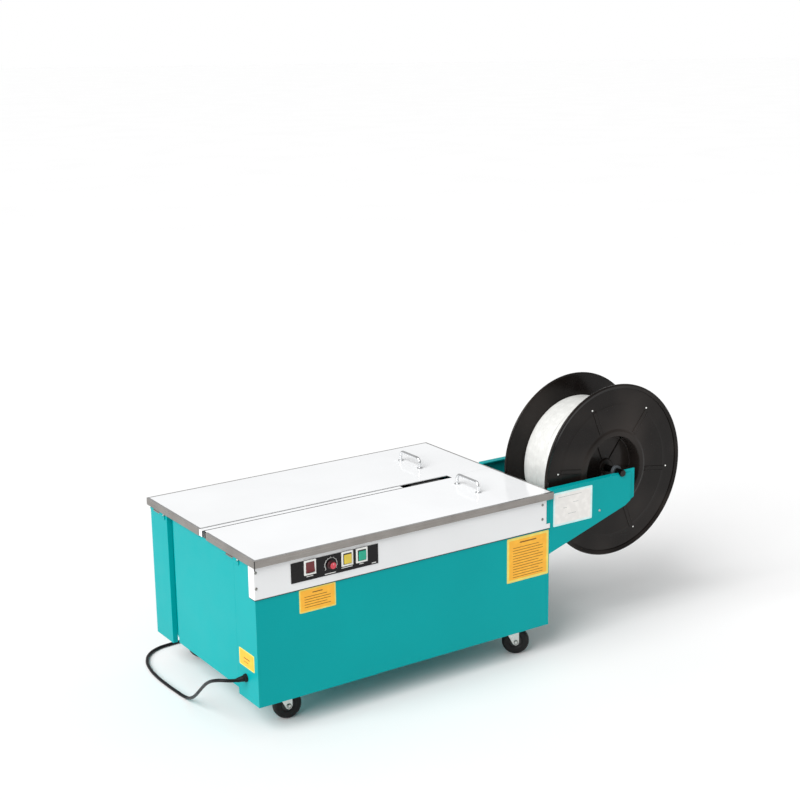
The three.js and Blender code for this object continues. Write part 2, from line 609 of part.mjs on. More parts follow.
// The belt is a closed loop on the straight tangents between the two pulleys.
function beltLoop(clearance) {
  const reach = GEAR_Z - MOTOR_Z;
  const lean = Math.asin((GEAR_PULLEY - MOTOR_PULLEY) / reach);
  const shape = new THREE.Shape();
  shape.absarc(DRIVE_X, GEAR_Z, GEAR_PULLEY + clearance, -lean, Math.PI + lean, false);
  shape.absarc(DRIVE_X, MOTOR_Z, MOTOR_PULLEY + clearance, Math.PI + lean, 2 * Math.PI - lean, false);
  shape.closePath();
  return shape;
}
const beltShape = beltLoop(5);
beltShape.holes.push(new THREE.Path(beltLoop(0.8).getPoints(12).reverse()));
const beltCourse = { depth: 10, bevelEnabled: false, curveSegments: 12 };
const beltGeometry = new THREE.ExtrudeGeometry(beltShape, beltCourse);
add('drive_belt', beltGeometry.rotateX(Math.PI / 2).translate(0, PULLEY_Y + 5, 0), RUBBER);

// ---- strap pool box and electrical box ----
const POOL = { left: -360, right: 60, front: -70, back: 6, high: 330 };
const poolLow = PAN_TOP + GAP;
add('strap_pool_box', weld(
  [block(POOL.left, POOL.right, POOL.front, POOL.back, poolLow, POOL.high)],
  [block(POOL.left + SHEET, POOL.right - SHEET, POOL.front + SHEET, POOL.back - SHEET,
    poolLow + SHEET, POOL.high + 20)],
), ZINC);
add('electrical_box', block(-300, -150, -235, -130, poolLow, poolLow + 120), ZINC);

// ---- reel arms ----
const armRoot = HALF_BODY + GAP;
const NOTCH = SHAFT_RADIUS + 0.8;
const SADDLE = { left: 36, low: 3, high: 8, overlap: 14 };

// A folded plate with a root flange and folds along its top and tip. A longer bracket plate behind
// its face carries the open notch for the shaft.
function reelArm(outer, inward) {
  const top = TABLE_HEIGHT + ARM_TOP;
  const across = (from, to) => [outer + inward * from, outer + inward * to].sort((a, b) => a - b);
  const fold = across(0.5, ARM_FOLD);
  const outlineTo = (reach) => [
    [armRoot, TABLE_HEIGHT - ARM_ROOT], [ARM_CHAMFER, TABLE_HEIGHT - ARM_TIP - 18],
    [reach, TABLE_HEIGHT - ARM_TIP - (ARM_REACH - reach) / 2], [reach, top],
    [armRoot + 6, top], [armRoot + 6, PANEL_TOP], [armRoot, PANEL_TOP],
  ];
  const bracket = [[REEL_X - SADDLE.left, TABLE_HEIGHT - ARM_TIP], [ARM_CHAMFER, TABLE_HEIGHT - ARM_TIP - 16],
    [ARM_REACH, TABLE_HEIGHT - ARM_TIP], [ARM_REACH, top + SADDLE.high], [REEL_X, top + SADDLE.high],
    [REEL_X, top + SADDLE.low], [REEL_X - SADDLE.left, top + SADDLE.low]];
  return weld([
    sheetXZ(outlineTo(ARM_REACH - SADDLE.overlap), ...across(0, ARM_SHEET)),
    sheetXZ(bracket, ...across(ARM_SHEET - 0.5, 2 * ARM_SHEET)),
    block(armRoot, armRoot + ARM_SHEET, ...across(0.5, 2 * ARM_FOLD), TABLE_HEIGHT - ARM_ROOT + 1, PANEL_TOP),
    block(armRoot + 6, ARM_REACH - SADDLE.overlap, ...fold, top - ARM_SHEET, top),
    block(ARM_REACH - ARM_SHEET, ARM_REACH, ...across(ARM_SHEET, ARM_FOLD), TABLE_HEIGHT - ARM_TIP, top),
  ], [
    rod('y', NOTCH, 80, REEL_X, (fold[0] + fold[1]) / 2, REEL_Z, 24),
    block(REEL_X - NOTCH, REEL_X + NOTCH, fold[0] - 5, fold[1] + 5, REEL_Z, REEL_Z + 60),
  ]);
}
add('front_reel_arm', reelArm(-BODY_Y, 1), TEAL);
add('rear_reel_arm', reelArm(REAR_ARM_Y, -1), TEAL);

// ---- reel: shaft, two flanges, core and the wound strap ----
const REEL_SEGMENTS = 40;

// One flange with a rolled rim, a raised ring round the hub, and a cupped hub with a bore.
function reelFlange(face, inward) {
  const hubFloor = face + inward * HUB_DEPTH;
  const t = FLANGE_SHEET;
  const bore = SHAFT_RADIUS + GAP;
  const at = (r, depth) => [r, face + inward * depth];
  const profile = [
    at(REEL_RADIUS - 1.5, 0), at(REEL_RADIUS, RIM_RADIUS), at(REEL_RADIUS - 1.5, 2 * RIM_RADIUS),
    at(HUB_RADIUS + t, 2 * RIM_RADIUS), [HUB_RADIUS + t, hubFloor + inward * t],
    [bore, hubFloor + inward * t], [bore, hubFloor - inward * 8],
    [bore + 12, hubFloor - inward * 8], [bore + 12, hubFloor], [HUB_RADIUS, hubFloor],
    at(HUB_RADIUS, 2), at(HUB_RADIUS + 12, 2 * RIM_RADIUS - t),
    at(REEL_RADIUS - 2 * RIM_RADIUS, 2 * RIM_RADIUS - t),
  ];
  if (inward < 0) profile.reverse();
  return turnedY(profile, REEL_SEGMENTS).translate(REEL_X, 0, REEL_Z);
}
add('front_reel_flange', reelFlange(REEL_FRONT, 1), BLACK);
add('rear_reel_flange', reelFlange(REEL_BACK, -1), BLACK);

const woundFront = REEL_FRONT + 2 * RIM_RADIUS + GAP;
const woundBack = REEL_BACK - 2 * RIM_RADIUS - GAP;
function ring(inner, outer, y0, y1) {
  const profile = [[inner, y0], [outer, y0], [outer, y1], [inner, y1]];
  return turnedY(profile, REEL_SEGMENTS).translate(REEL_X, 0, REEL_Z);
}
add('reel_core', ring(CORE_RADIUS - CORE_WALL, CORE_RADIUS, woundFront, woundBack), [0x9a7b52, 0.8, 0.0]);
add('strap_coil', ring(CORE_RADIUS + GAP, STRAP_RADIUS, woundFront, woundBack), PALE);

const shaftFront = -BODY_Y - 5;
const shaftBack = REAR_ARM_Y + 8;
const COLLAR = { radius: 15, width: 9 };
const collarFront = -BODY_Y + ARM_FOLD + 6;
const collarBack = REAR_ARM_Y - ARM_FOLD - 6;
add('reel_shaft', weld([
  rod('y', SHAFT_RADIUS, shaftBack - shaftFront, REEL_X, (shaftFront + shaftBack) / 2, REEL_Z, 20),
  rod('y', COLLAR.radius, COLLAR.width, REEL_X, collarFront, REEL_Z, 20),
  rod('y', COLLAR.radius, COLLAR.width, REEL_X, collarBack, REEL_Z, 20),
]), DARK_STEEL);

// ---- sprung dancer lever with its guide roller, on the end wall below the reel ----
add('dancer_lever', weld([
  rod('y', 9, 8, DANCER.x, cheek + 5, DANCER.z, 16),
  block(DANCER.x - 4, DANCER.x + 4, cheek + 1, cheek + 9, dancerFoot, DANCER.z),
  rod('y', 9, 8, DANCER.x, cheek + 5, dancerFoot, 16),
  rod('y', 3.5, DANCER.width + 10, DANCER.x, cheek + 5 - (DANCER.width + 10) / 2, dancerFoot, 12),
], [rod('y', 4.3, 40, DANCER.x, cheek, DANCER.z, 16)]), ZINC);
add('guide_roller', weld(
  [rod('y', DANCER.roller, DANCER.width, DANCER.x, STRAP_MIDDLE + 2, dancerFoot, 20)],
  [rod('y', 3.9, DANCER.width + 20, DANCER.x, STRAP_MIDDLE, dancerFoot, 16)],
), PALE);

// ---- four swivel casters ----
const FORK_TOP = 76;
const FORK_WALL = 3;
const AXLE_RADIUS = 4;

// A fork with two tapered cheeks, a crown, the stem with its nut, and the axle bolt.
function casterFork() {
  const cheekY = WHEEL_WIDTH / 2 + 1.5;
  const cheekOutline = [[-20, FORK_TOP], [20, FORK_TOP], [CASTER_TRAIL + 8, WHEEL_RADIUS],
    [CASTER_TRAIL + 6, WHEEL_RADIUS - 6], [CASTER_TRAIL, WHEEL_RADIUS - 9],
    [CASTER_TRAIL - 7, WHEEL_RADIUS - 5]].reverse();
  return weld([
    sheetXZ(cheekOutline, -cheekY - FORK_WALL, -cheekY),
    sheetXZ(cheekOutline, cheekY, cheekY + FORK_WALL),
    block(-20, 20, -cheekY - FORK_WALL, cheekY + FORK_WALL, FORK_TOP - 3, FORK_TOP),
    rod('z', 19, 7, 0, 0, FORK_TOP + 3, 16),
    rod('z', STEM_RADIUS, 34, 0, 0, FORK_TOP + 14, 10),
    rod('z', 10, 6, 0, 0, PAN_TOP + GAP + 3, 6),
    rod('y', AXLE_RADIUS, 2 * cheekY + 2 * FORK_WALL + 2, CASTER_TRAIL, 0, WHEEL_RADIUS, 10),
    rod('y', 6, 2.5, CASTER_TRAIL, -cheekY - FORK_WALL - 1, WHEEL_RADIUS, 6),
    rod('y', 6, 2.5, CASTER_TRAIL, cheekY + FORK_WALL + 1, WHEEL_RADIUS, 6),
  ]);
}
function casterWheel() {
  const half = WHEEL_WIDTH / 2;
  const r = WHEEL_RADIUS;
  const bore = AXLE_RADIUS + 0.5;
  return turnedY([[bore, -half], [r - 5, -half], [r - 1, -half + 5], [r, 0],
    [r - 1, half - 5], [r - 5, half], [bore, half]], 20);
}
for (const { name, x, y, turn } of casterPlaces) {
  const place = new THREE.Matrix4().makeRotationZ(THREE.MathUtils.degToRad(turn)).setPosition(x, y, 0);
  const wheel = casterWheel().translate(CASTER_TRAIL, 0, WHEEL_RADIUS);
  add(`${name}_caster_fork`, casterFork().applyMatrix4(place), ZINC);
  add(`${name}_caster_wheel`, wheel.applyMatrix4(place), RUBBER);
}

// ---- mains lead: gland, cord along its route, stored coil and plug ----
const glandEnd = CORD_EXIT.x - GLAND_LENGTH;
const glandShape = turnedY([
  [CORD_RADIUS + 0.4, -8], [7.4, -8], [7.4, 0.4], [11, 0.4], [11, 6], [8, 9],
  [CORD_RADIUS + 1.6, GLAND_LENGTH - GAP], [CORD_RADIUS + 0.4, GLAND_LENGTH - GAP],
], 16).rotateZ(Math.PI / 2).translate(CORD_EXIT.x, CORD_EXIT.y, CORD_EXIT.z);
add('cord_gland', glandShape, BLACK);

// The route starts straight out of the gland, drops to the floor, and runs round the rear corner.
const LAID = CORD_RADIUS + 0.1;
const cordRoute = [
  [glandEnd, -214, 129], [-457, -213.6, 130.5], [-469.5, -209.5, 132.5], [-480.5, -200, 132.5],
  [-487, -186, 128.5], [-489.5, -168, 120.5], [-489, -146, 107.5], [-486, -118, 87.5], [-481.5, -86, 62.5],
  [-477, -55, 39], [-473, -26, 20.5],
  [-471, 0, 8.6], [-472.5, 26, LAID + 0.6], [-474.5, 60, LAID], [-477, 110, LAID], [-477, 165, LAID],
  [-471, 220, LAID], [-456, 270, LAID], [-432, 305, LAID], [-402, 324, LAID],
  [-362, 331, LAID], [-316, 332, LAID],
  [COIL_CENTRE.x - COIL_APPROACH, COIL_CENTRE.y - COIL_OUTER_TURN, LAID],
].map(([x, y, z]) => new THREE.Vector3(x, y, z));
add('mains_cord', tube(new THREE.CatmullRomCurve3(cordRoute), CORD_RADIUS, 8, 48), RUBBER);

const coilRing = new THREE.LatheGeometry([
  [COIL_RADIUS - COIL_HALF_WIDTH, 0.1], [COIL_RADIUS + COIL_HALF_WIDTH, 0.1],
  [COIL_RADIUS + COIL_HALF_WIDTH, COIL_HEIGHT], [COIL_RADIUS - COIL_HALF_WIDTH, COIL_HEIGHT],
  [COIL_RADIUS - COIL_HALF_WIDTH, 0.1],
].map(([r, z]) => new THREE.Vector2(r, z)), 24).rotateX(Math.PI / 2);
add('cord_coil', coilRing.translate(COIL_CENTRE.x, COIL_CENTRE.y, 0), RUBBER);

// The plug lies on its side where the last turn leaves the coil along X, its two pins pointing away.
const PLUG = { radius: 16, tail: 28, body: 36, pinRadius: 2.4, pinLength: 19, pinGap: 19 };
const plugFace = PLUG.tail + PLUG.body;
const plugShape = weld([
  turnedY([
    [0, 0], [5, 0], [7.5, PLUG.tail], [PLUG.radius, PLUG.tail + 8], [PLUG.radius, plugFace], [0, plugFace],
  ], 20),
  ...[-1, 1].map((side) => rod('y', PLUG.pinRadius, PLUG.pinLength + 2, side * PLUG.pinGap / 2,
    plugFace + PLUG.pinLength / 2 - 1, 0, 10)),
]);
plugShape.rotateZ(-Math.PI / 2);
add('mains_plug', plugShape, BLACK).position.set(
  COIL_CENTRE.x + COIL_APPROACH + 2, COIL_CENTRE.y - COIL_OUTER_TURN, PLUG.radius + 0.2);

export default machine;
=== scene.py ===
"""The looks of the low-table strapping machine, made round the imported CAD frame.

Lengths in this script are in millimetres in the machine's own frame, as in the part's source:
x = 0 and y = 0 are the middle of the table, z = 0 is the floor. at() turns them into metres in
the row frame.
"""

import json
import math

import bmesh
import bpy
from mathutils import Matrix, Vector


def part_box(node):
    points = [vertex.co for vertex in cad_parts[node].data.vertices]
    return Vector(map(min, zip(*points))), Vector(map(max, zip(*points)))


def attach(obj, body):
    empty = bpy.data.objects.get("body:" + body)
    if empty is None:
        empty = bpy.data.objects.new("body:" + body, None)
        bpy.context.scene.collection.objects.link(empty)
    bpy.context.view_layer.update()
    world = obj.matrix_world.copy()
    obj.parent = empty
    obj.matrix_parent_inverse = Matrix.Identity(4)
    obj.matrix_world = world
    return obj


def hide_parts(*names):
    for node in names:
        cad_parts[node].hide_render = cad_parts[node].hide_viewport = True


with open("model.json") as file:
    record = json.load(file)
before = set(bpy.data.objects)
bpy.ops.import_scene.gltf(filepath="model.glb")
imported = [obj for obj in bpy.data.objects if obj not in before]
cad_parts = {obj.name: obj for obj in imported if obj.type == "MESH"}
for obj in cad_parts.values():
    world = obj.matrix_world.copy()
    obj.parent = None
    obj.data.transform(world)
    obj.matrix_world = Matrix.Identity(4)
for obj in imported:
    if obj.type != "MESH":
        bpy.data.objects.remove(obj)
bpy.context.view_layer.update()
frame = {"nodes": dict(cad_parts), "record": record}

MM = 0.001
record = frame["record"]
BODY_OF = {node: body for body, names in record["behaviour"]["bodies"].items() for node in names}
SLOT_OF = {part["node"]: part["material_slot"] for part in record["subparts"]}

front_lid_low, front_lid_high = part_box("front_table_lid")
rear_lid_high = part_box("rear_table_lid")[1]
TABLE_CENTRE = Vector((
    (front_lid_low.x + front_lid_high.x) / 2,
    (front_lid_low.y + rear_lid_high.y) / 2,
    0,
))
TABLE = front_lid_high.z / MM


def at(x, y, z):
    """A point of the machine's frame, in millimetres, as metres in the row frame."""
    return TABLE_CENTRE + Vector((x, y, z)) * MM


def span(node):
    """A CAD node's lowest and highest corner, in millimetres, in the machine's frame."""
    low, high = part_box(node)
    return (low - TABLE_CENTRE) / MM, (high - TABLE_CENTRE) / MM


# ---- camera ----
CAMERA_PLACE = (-2.12953, -3.09666, 1.60593)
CAMERA_AZIMUTH = math.radians(-33.49063)
CAMERA_ELEVATION = math.radians(14.335834)
CAMERA_ROLL = math.radians(-0.7837)
CAMERA_LENS = 68.231


def make_camera():
    data = bpy.data.cameras.new("camera")
    camera = bpy.data.objects.new("camera", data)
    bpy.context.scene.collection.objects.link(camera)
    bpy.context.scene.camera = camera
    forward = Vector((
        -math.sin(CAMERA_AZIMUTH) * math.cos(CAMERA_ELEVATION),
        math.cos(CAMERA_AZIMUTH) * math.cos(CAMERA_ELEVATION),
        -math.sin(CAMERA_ELEVATION),
    ))
    level = forward.cross(Vector((0, 0, 1))).normalized()
    upright = level.cross(forward)
    right = math.cos(CAMERA_ROLL) * level + math.sin(CAMERA_ROLL) * upright
    up = math.cos(CAMERA_ROLL) * upright - math.sin(CAMERA_ROLL) * level
    turn = Matrix((right, up, -forward)).transposed().to_4x4()
    camera.matrix_world = Matrix.Translation(CAMERA_PLACE) @ turn
    data.lens = CAMERA_LENS
    data.sensor_width = 36
    data.clip_start = 0.05
    data.clip_end = 50


make_camera()


# ---- materials ----
class Finish:
    """A node material: a Principled shader with textures placed by object coordinates."""

    def __init__(self, name, colour, roughness, metallic=0.0, **sockets):
        self.material = bpy.data.materials.new(name)
        self.material.use_nodes = True
        self.tree = self.material.node_tree
        self.shader = self.tree.nodes["Principled BSDF"]
        self.shader.inputs["Base Color"].default_value = (*colour, 1)
        self.shader.inputs["Roughness"].default_value = roughness
        self.shader.inputs["Metallic"].default_value = metallic
        for socket, value in sockets.items():
            self.shader.inputs[socket.replace("_", " ")].default_value = value
        self.coordinates = self.tree.nodes.new("ShaderNodeTexCoord").outputs["Object"]
        self.height = None

    def noise(self, scale, detail=3.0, stretch=(1, 1, 1), distortion=0.0):
        """Noise with about `scale` grains in a metre, stretched by axis."""
        mapping = self.tree.nodes.new("ShaderNodeMapping")
        mapping.inputs["Scale"].default_value = stretch
        texture = self.tree.nodes.new("ShaderNodeTexNoise")
        texture.inputs["Scale"].default_value = scale
        texture.inputs["Detail"].default_value = detail
        texture.inputs["Distortion"].default_value = distortion
        self.tree.links.new(self.coordinates, mapping.inputs["Vector"])
        self.tree.links.new(mapping.outputs["Vector"], texture.inputs["Vector"])
        return texture.outputs["Fac"]

    def ranged(self, value, low, high, start=0.3, end=0.7):
        """Maps a texture's middle values to low..high."""
        ramp = self.tree.nodes.new("ShaderNodeMapRange")
        ramp.inputs["From Min"].default_value = start
        ramp.inputs["From Max"].default_value = end
        ramp.inputs["To Min"].default_value = low
        ramp.inputs["To Max"].default_value = high
        self.tree.links.new(value, ramp.inputs["Value"])
        return ramp.outputs["Result"]

    def tint(self, value, shade, start=0.3, end=0.7):
        """Mixes the colour so far towards `shade` where the texture is high."""
        mix = self.tree.nodes.new("ShaderNodeMix")
        mix.data_type = "RGBA"
        base = self.shader.inputs["Base Color"]
        if base.is_linked:
            self.tree.links.new(base.links[0].from_socket, mix.inputs["A"])
        else:
            mix.inputs["A"].default_value = base.default_value
        mix.inputs["B"].default_value = (*shade, 1)
        self.tree.links.new(self.ranged(value, 0, 1, start, end), mix.inputs["Factor"])
        self.tree.links.new(mix.outputs["Result"], base)
        return self

    def gloss(self, value, low, high):
        """Lets the roughness wander from low to high with the texture."""
        self.tree.links.new(self.ranged(value, low, high), self.shader.inputs["Roughness"])
        return self

    def relief(self, value, depth):
        """Adds a bump of `depth` metres to the surface."""
        bump = self.tree.nodes.new("ShaderNodeBump")
        bump.inputs["Strength"].default_value = 1.0
        bump.inputs["Distance"].default_value = depth
        self.tree.links.new(value, bump.inputs["Height"])
        if self.height:
            self.tree.links.new(self.height, bump.inputs["Normal"])
        self.height = bump.outputs["Normal"]
        self.tree.links.new(self.height, self.shader.inputs["Normal"])
        return self


def scaled(colour, factor):
    return tuple(min(1.0, channel * factor) for channel in colour)


def painted(name, colour, roughness, shine):
    """Sprayed and baked paint: faint orange peel, soft clouds of colour and gloss."""
    finish = Finish(name, colour, roughness, Specular_IOR_Level=shine)
    finish.tint(finish.noise(4, detail=2), scaled(colour, 1.06))
    finish.gloss(finish.noise(18), roughness - 0.04, roughness + 0.06)
    finish.relief(finish.noise(700, detail=1), 0.0000015)
    return finish


def brushed(name, colour, roughness, stretch, depth=0.00002):
    """Metal with fine streaks: the texture is drawn out along two axes."""
    finish = Finish(name, colour, roughness, metallic=1.0)
    streaks = finish.noise(1, detail=5, stretch=stretch)
    finish.tint(streaks, scaled(colour, 0.72))
    finish.tint(finish.noise(14), scaled(colour, 1.12))
    finish.gloss(finish.noise(1, detail=3, stretch=stretch), roughness - 0.07, roughness + 0.12)
    finish.relief(streaks, depth)
    return finish


def moulded(name, colour, roughness, **sockets):
    """Injection-moulded plastic: a fine spark-eroded grain and slow changes of gloss."""
    finish = Finish(name, colour, roughness, **sockets)
    finish.tint(finish.noise(60), scaled(colour, 1.18), 0.45, 0.85)
    finish.gloss(finish.noise(25), roughness - 0.05, roughness + 0.07)
    finish.relief(finish.noise(900, detail=2), 0.00002)
    return finish


def plated(name, colour, roughness):
    """Zinc plate: pale, slightly clouded metal with a soft crystal mottle."""
    finish = Finish(name, colour, roughness, metallic=0.9)
    finish.tint(finish.noise(35, detail=5), scaled(colour, 0.8))
    finish.tint(finish.noise(380, detail=2), scaled(colour, 1.12), 0.55, 0.75)
    finish.gloss(finish.noise(50), roughness - 0.08, roughness + 0.12)
    finish.relief(finish.noise(500), 0.00002)
    return finish


def cast(name, colour, roughness):
    """A sand casting under machine paint: pitted, matt, with darker hollows."""
    finish = Finish(name, colour, roughness, metallic=0.3)
    finish.tint(finish.noise(90, detail=5), scaled(colour, 0.7))
    finish.gloss(finish.noise(70), roughness - 0.08, roughness + 0.1)
    finish.relief(finish.noise(380, detail=5), 0.00018)
    return finish


def rubber(name, colour, roughness):
    """Black rubber with grey dusty bloom in its grain."""
    finish = Finish(name, colour, roughness, Specular_IOR_Level=0.2)
    finish.tint(finish.noise(45, detail=5), scaled(colour, 1.8), 0.5, 0.8)
    finish.gloss(finish.noise(120), roughness - 0.1, roughness + 0.1)
    finish.relief(finish.noise(700, detail=4), 0.00006)
    return finish


TEAL = (0.0, 0.33, 0.34)
FINISHES = {
    "teal_paint": painted("teal powder coat", TEAL, 0.34, 0.09),
    "white_enamel": painted("white enamel", (0.9, 0.91, 0.92), 0.1, 0.45),
    # A darker copy of the white enamel: painted shade on the fascia.
    "fascia_enamel_painted_shade": painted("fascia enamel with painted shade", (0.77, 0.775, 0.78), 0.2, 0.2),
    # A paler copy of the stainless: painted highlight along the trim's top.
    "trim_top_painted_highlight": brushed("stainless with painted highlight", (0.66, 0.65, 0.64), 0.34, (6, 6, 900)),
    "stainless": brushed("brushed stainless", (0.3, 0.28, 0.262), 0.3, (6, 6, 900)),
    "zinc_plate": plated("bright zinc", (0.62, 0.63, 0.61), 0.3),
    "chrome": brushed("polished chrome", (0.86, 0.87, 0.88), 0.12, (30, 700, 30), 0.000003),
    "black_film": moulded("black film", (0.008, 0.007, 0.008), 0.26, Specular_IOR_Level=0.2),
    # Pale plastic; on the studs of the reel flanges it stands as painted glints.
    "pale_plastic": moulded("pale plastic and painted glints", (0.8, 0.8, 0.77), 0.35),
    "red_rocker": moulded("dark red lens", (0.13, 0.014, 0.017), 0.22),
    "red_knob": moulded("red knob cap", (0.6, 0.05, 0.075), 0.32),
    "yellow_button": moulded("yellow lens", (0.66, 0.5, 0.05), 0.22),
    "green_button": moulded("green lens", (0.004, 0.35, 0.22), 0.22),
    "cast_metal": cast("painted casting", (0.09, 0.1, 0.11), 0.5),
    "machined_steel": brushed("machined steel", (0.5, 0.5, 0.5), 0.28, (500, 20, 20)),
    # Black oxide on the shaft; on the slideway's lower faces this finish is painted shade.
    "blackened_steel": brushed("black oxide steel and painted shade", (0.035, 0.034, 0.033), 0.32, (300, 20, 20)),
    "belt_rubber": rubber("belt rubber", (0.02, 0.02, 0.02), 0.7),
    "reel_plastic": moulded("gloss black moulding", (0.0075, 0.0058, 0.005), 0.2, Specular_IOR_Level=0.17),
    "cardboard": moulded("kraft board", (0.33, 0.21, 0.11), 0.8),
    "strap_plastic": moulded("white strap", (0.66, 0.66, 0.64), 0.4),
    "wheel_rubber": rubber("tyre rubber", (0.009, 0.009, 0.009), 0.5),
    "cord_rubber": rubber("cord sheath", (0.007, 0.007, 0.008), 0.4),
    "label_border": moulded("label border", (0.8, 0.66, 0.14), 0.45, Specular_IOR_Level=0.3),
    "label_field": moulded("label field", (0.92, 0.45, 0.04), 0.45, Specular_IOR_Level=0.3),
    "label_rule": moulded("label rule", (0.16, 0.065, 0.008), 0.5, Specular_IOR_Level=0.3),
    "card_border": moulded("card border", (0.6, 0.83, 0.82), 0.4),
    "card_field": moulded("card field", (0.79, 0.77, 0.74), 0.4),
    "card_rule": moulded("card rule", (0.36, 0.37, 0.36), 0.45),
    "knob_skirt": moulded("dark knob skirt", (0.045, 0.008, 0.01), 0.3),
    "legend": moulded("legend print", (0.7, 0.7, 0.68), 0.4),
    "screw_zinc": plated("dulled zinc screws", (0.33, 0.33, 0.31), 0.3),
    # Black for real black parts; under the fascia and in the axle sockets it is painted shade.
    "dark_gap": moulded("black parts and painted shade", (0.01, 0.01, 0.01), 0.4),
}


# Slow clouds of paler brown on the reel's gloss black moulding: painted sheen that stands for soft
# reflections.
REEL_PAINTED_SHEEN = (0.03, 0.024, 0.021)
reel_plastic = FINISHES["reel_plastic"]
reel_plastic.tint(reel_plastic.noise(7, detail=1), REEL_PAINTED_SHEEN, 0.42, 0.78)


def finish_of(name):
    return FINISHES[name].material


# ---- making pieces ----
SMALL_EDGE = 0.45
FOLD_FACE = 0.004
CREASE = math.radians(24)
FLAT = math.radians(0.6)
MOST_CUTS = 8


def link_piece(name, mesh, body, replaces=()):
    """A mesh in the row frame becomes a named piece that rides on a body."""
    piece = bpy.data.objects.new(name, mesh)
    bpy.context.scene.collection.objects.link(piece)
    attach(piece, body)
    if replaces:
        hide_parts(*replaces)
    return piece


def mesh_from(shape, name, finishes, crease=CREASE):
    """Turns a bmesh into a mesh that is smooth except at edges sharper than `crease`."""
    bmesh.ops.remove_doubles(shape, verts=shape.verts, dist=1e-7)
    for face in shape.faces:
        face.smooth = True
    for edge in shape.edges:
        edge.smooth = len(edge.link_faces) != 2 or edge.calc_face_angle(0) < crease
    mesh = bpy.data.meshes.new(name)
    shape.to_mesh(mesh)
    shape.free()
    for finish in finishes:
        mesh.materials.append(finish_of(finish))
    return mesh


def add_piece(name, shape, body, slot, finishes=None, replaces=(), crease=CREASE):
    piece = link_piece(name, mesh_from(shape, name, finishes or [slot], crease), body, replaces)
    normals = piece.modifiers.new("even normals", "WEIGHTED_NORMAL")
    normals.keep_sharp = True
    return piece


def rounded(shape, edges, radius, segments=3):
    """Rounds the given edges, with the radius in millimetres."""
    if edges:
        bmesh.ops.bevel(
            shape, geom=edges, offset=radius * MM, segments=segments, profile=0.5,
            affect="EDGES", clamp_overlap=True)


def sharp_edges(shape, limit=math.radians(20)):
    return [edge for edge in shape.edges
            if len(edge.link_faces) == 2 and edge.calc_face_angle(0) > limit]


def slanted_seams(shape):
    """Edges inside flat faces that run askew of the axes."""
    found = []
    for edge in shape.edges:
        run = edge.verts[1].co - edge.verts[0].co
        askew = sum(abs(part) > 0.5 * MM for part in run) > 1
        if askew and len(edge.link_faces) == 2 and edge.calc_face_angle(0) < FLAT:
            found.append(edge)
    return found


def cad_shape(node):
    """A CAD node's mesh with its flat faces joined up, and cut along the axes where they have holes."""
    shape = bmesh.new()
    shape.from_mesh(frame["nodes"][node].data)
    bmesh.ops.remove_doubles(shape, verts=shape.verts, dist=2e-6)
    bmesh.ops.dissolve_limit(shape, angle_limit=FLAT, verts=shape.verts, edges=shape.edges)
    cuts = sorted({round(vertex.co.x, 5) for edge in slanted_seams(shape) for vertex in edge.verts})
    if len(cuts) <= MOST_CUTS:
        for x in cuts:
            bmesh.ops.bisect_plane(
                shape, geom=shape.verts[:] + shape.edges[:] + shape.faces[:], dist=1e-6,
                plane_co=(x, 0, 0), plane_no=(1, 0, 0))
    bmesh.ops.dissolve_edges(shape, edges=slanted_seams(shape), use_verts=False)
    return shape


def refined(node, edge=SMALL_EDGE, fold=0.0, finishes=None, choose=None, name=None):
    """Stands for a CAD node with the same shape, its edges rounded and its sheet folds bent."""
    shape = cad_shape(node)
    if fold:
        folds = [e for e in sharp_edges(shape) if min(f.calc_area() for f in e.link_faces) > FOLD_FACE]
        rounded(shape, folds, fold, 4)
    if edge:
        rounded(shape, sharp_edges(shape, math.radians(35)), edge, 2)
    if choose:
        for face in shape.faces:
            face.material_index = choose((face.calc_center_median() - TABLE_CENTRE) / MM)
    slot = SLOT_OF[node]
    return add_piece(name or f"{node}_shell", shape, BODY_OF[node], slot, finishes, [node])


def slab(shape, low, high, radius=0.0, segments=3, index=0):
    """Adds a box between two corners of the machine's frame, with rounded edges."""
    part = bmesh.new()
    bmesh.ops.create_cube(part, size=1)
    low, high = Vector(low), Vector(high)
    middle, size = (low + high) / 2, high - low
    for vertex in part.verts:
        vertex.co = at(*(middle + Vector(a * b for a, b in zip(vertex.co, size))))
    if radius:
        rounded(part, part.edges[:], radius, segments)
    for face in part.faces:
        face.material_index = index
    merge(shape, part)


def merge(shape, part):
    """Adds one bmesh to another, and frees it."""
    mesh = bpy.data.meshes.new("part")
    part.to_mesh(mesh)
    part.free()
    shape.from_mesh(mesh)
    bpy.data.meshes.remove(mesh)


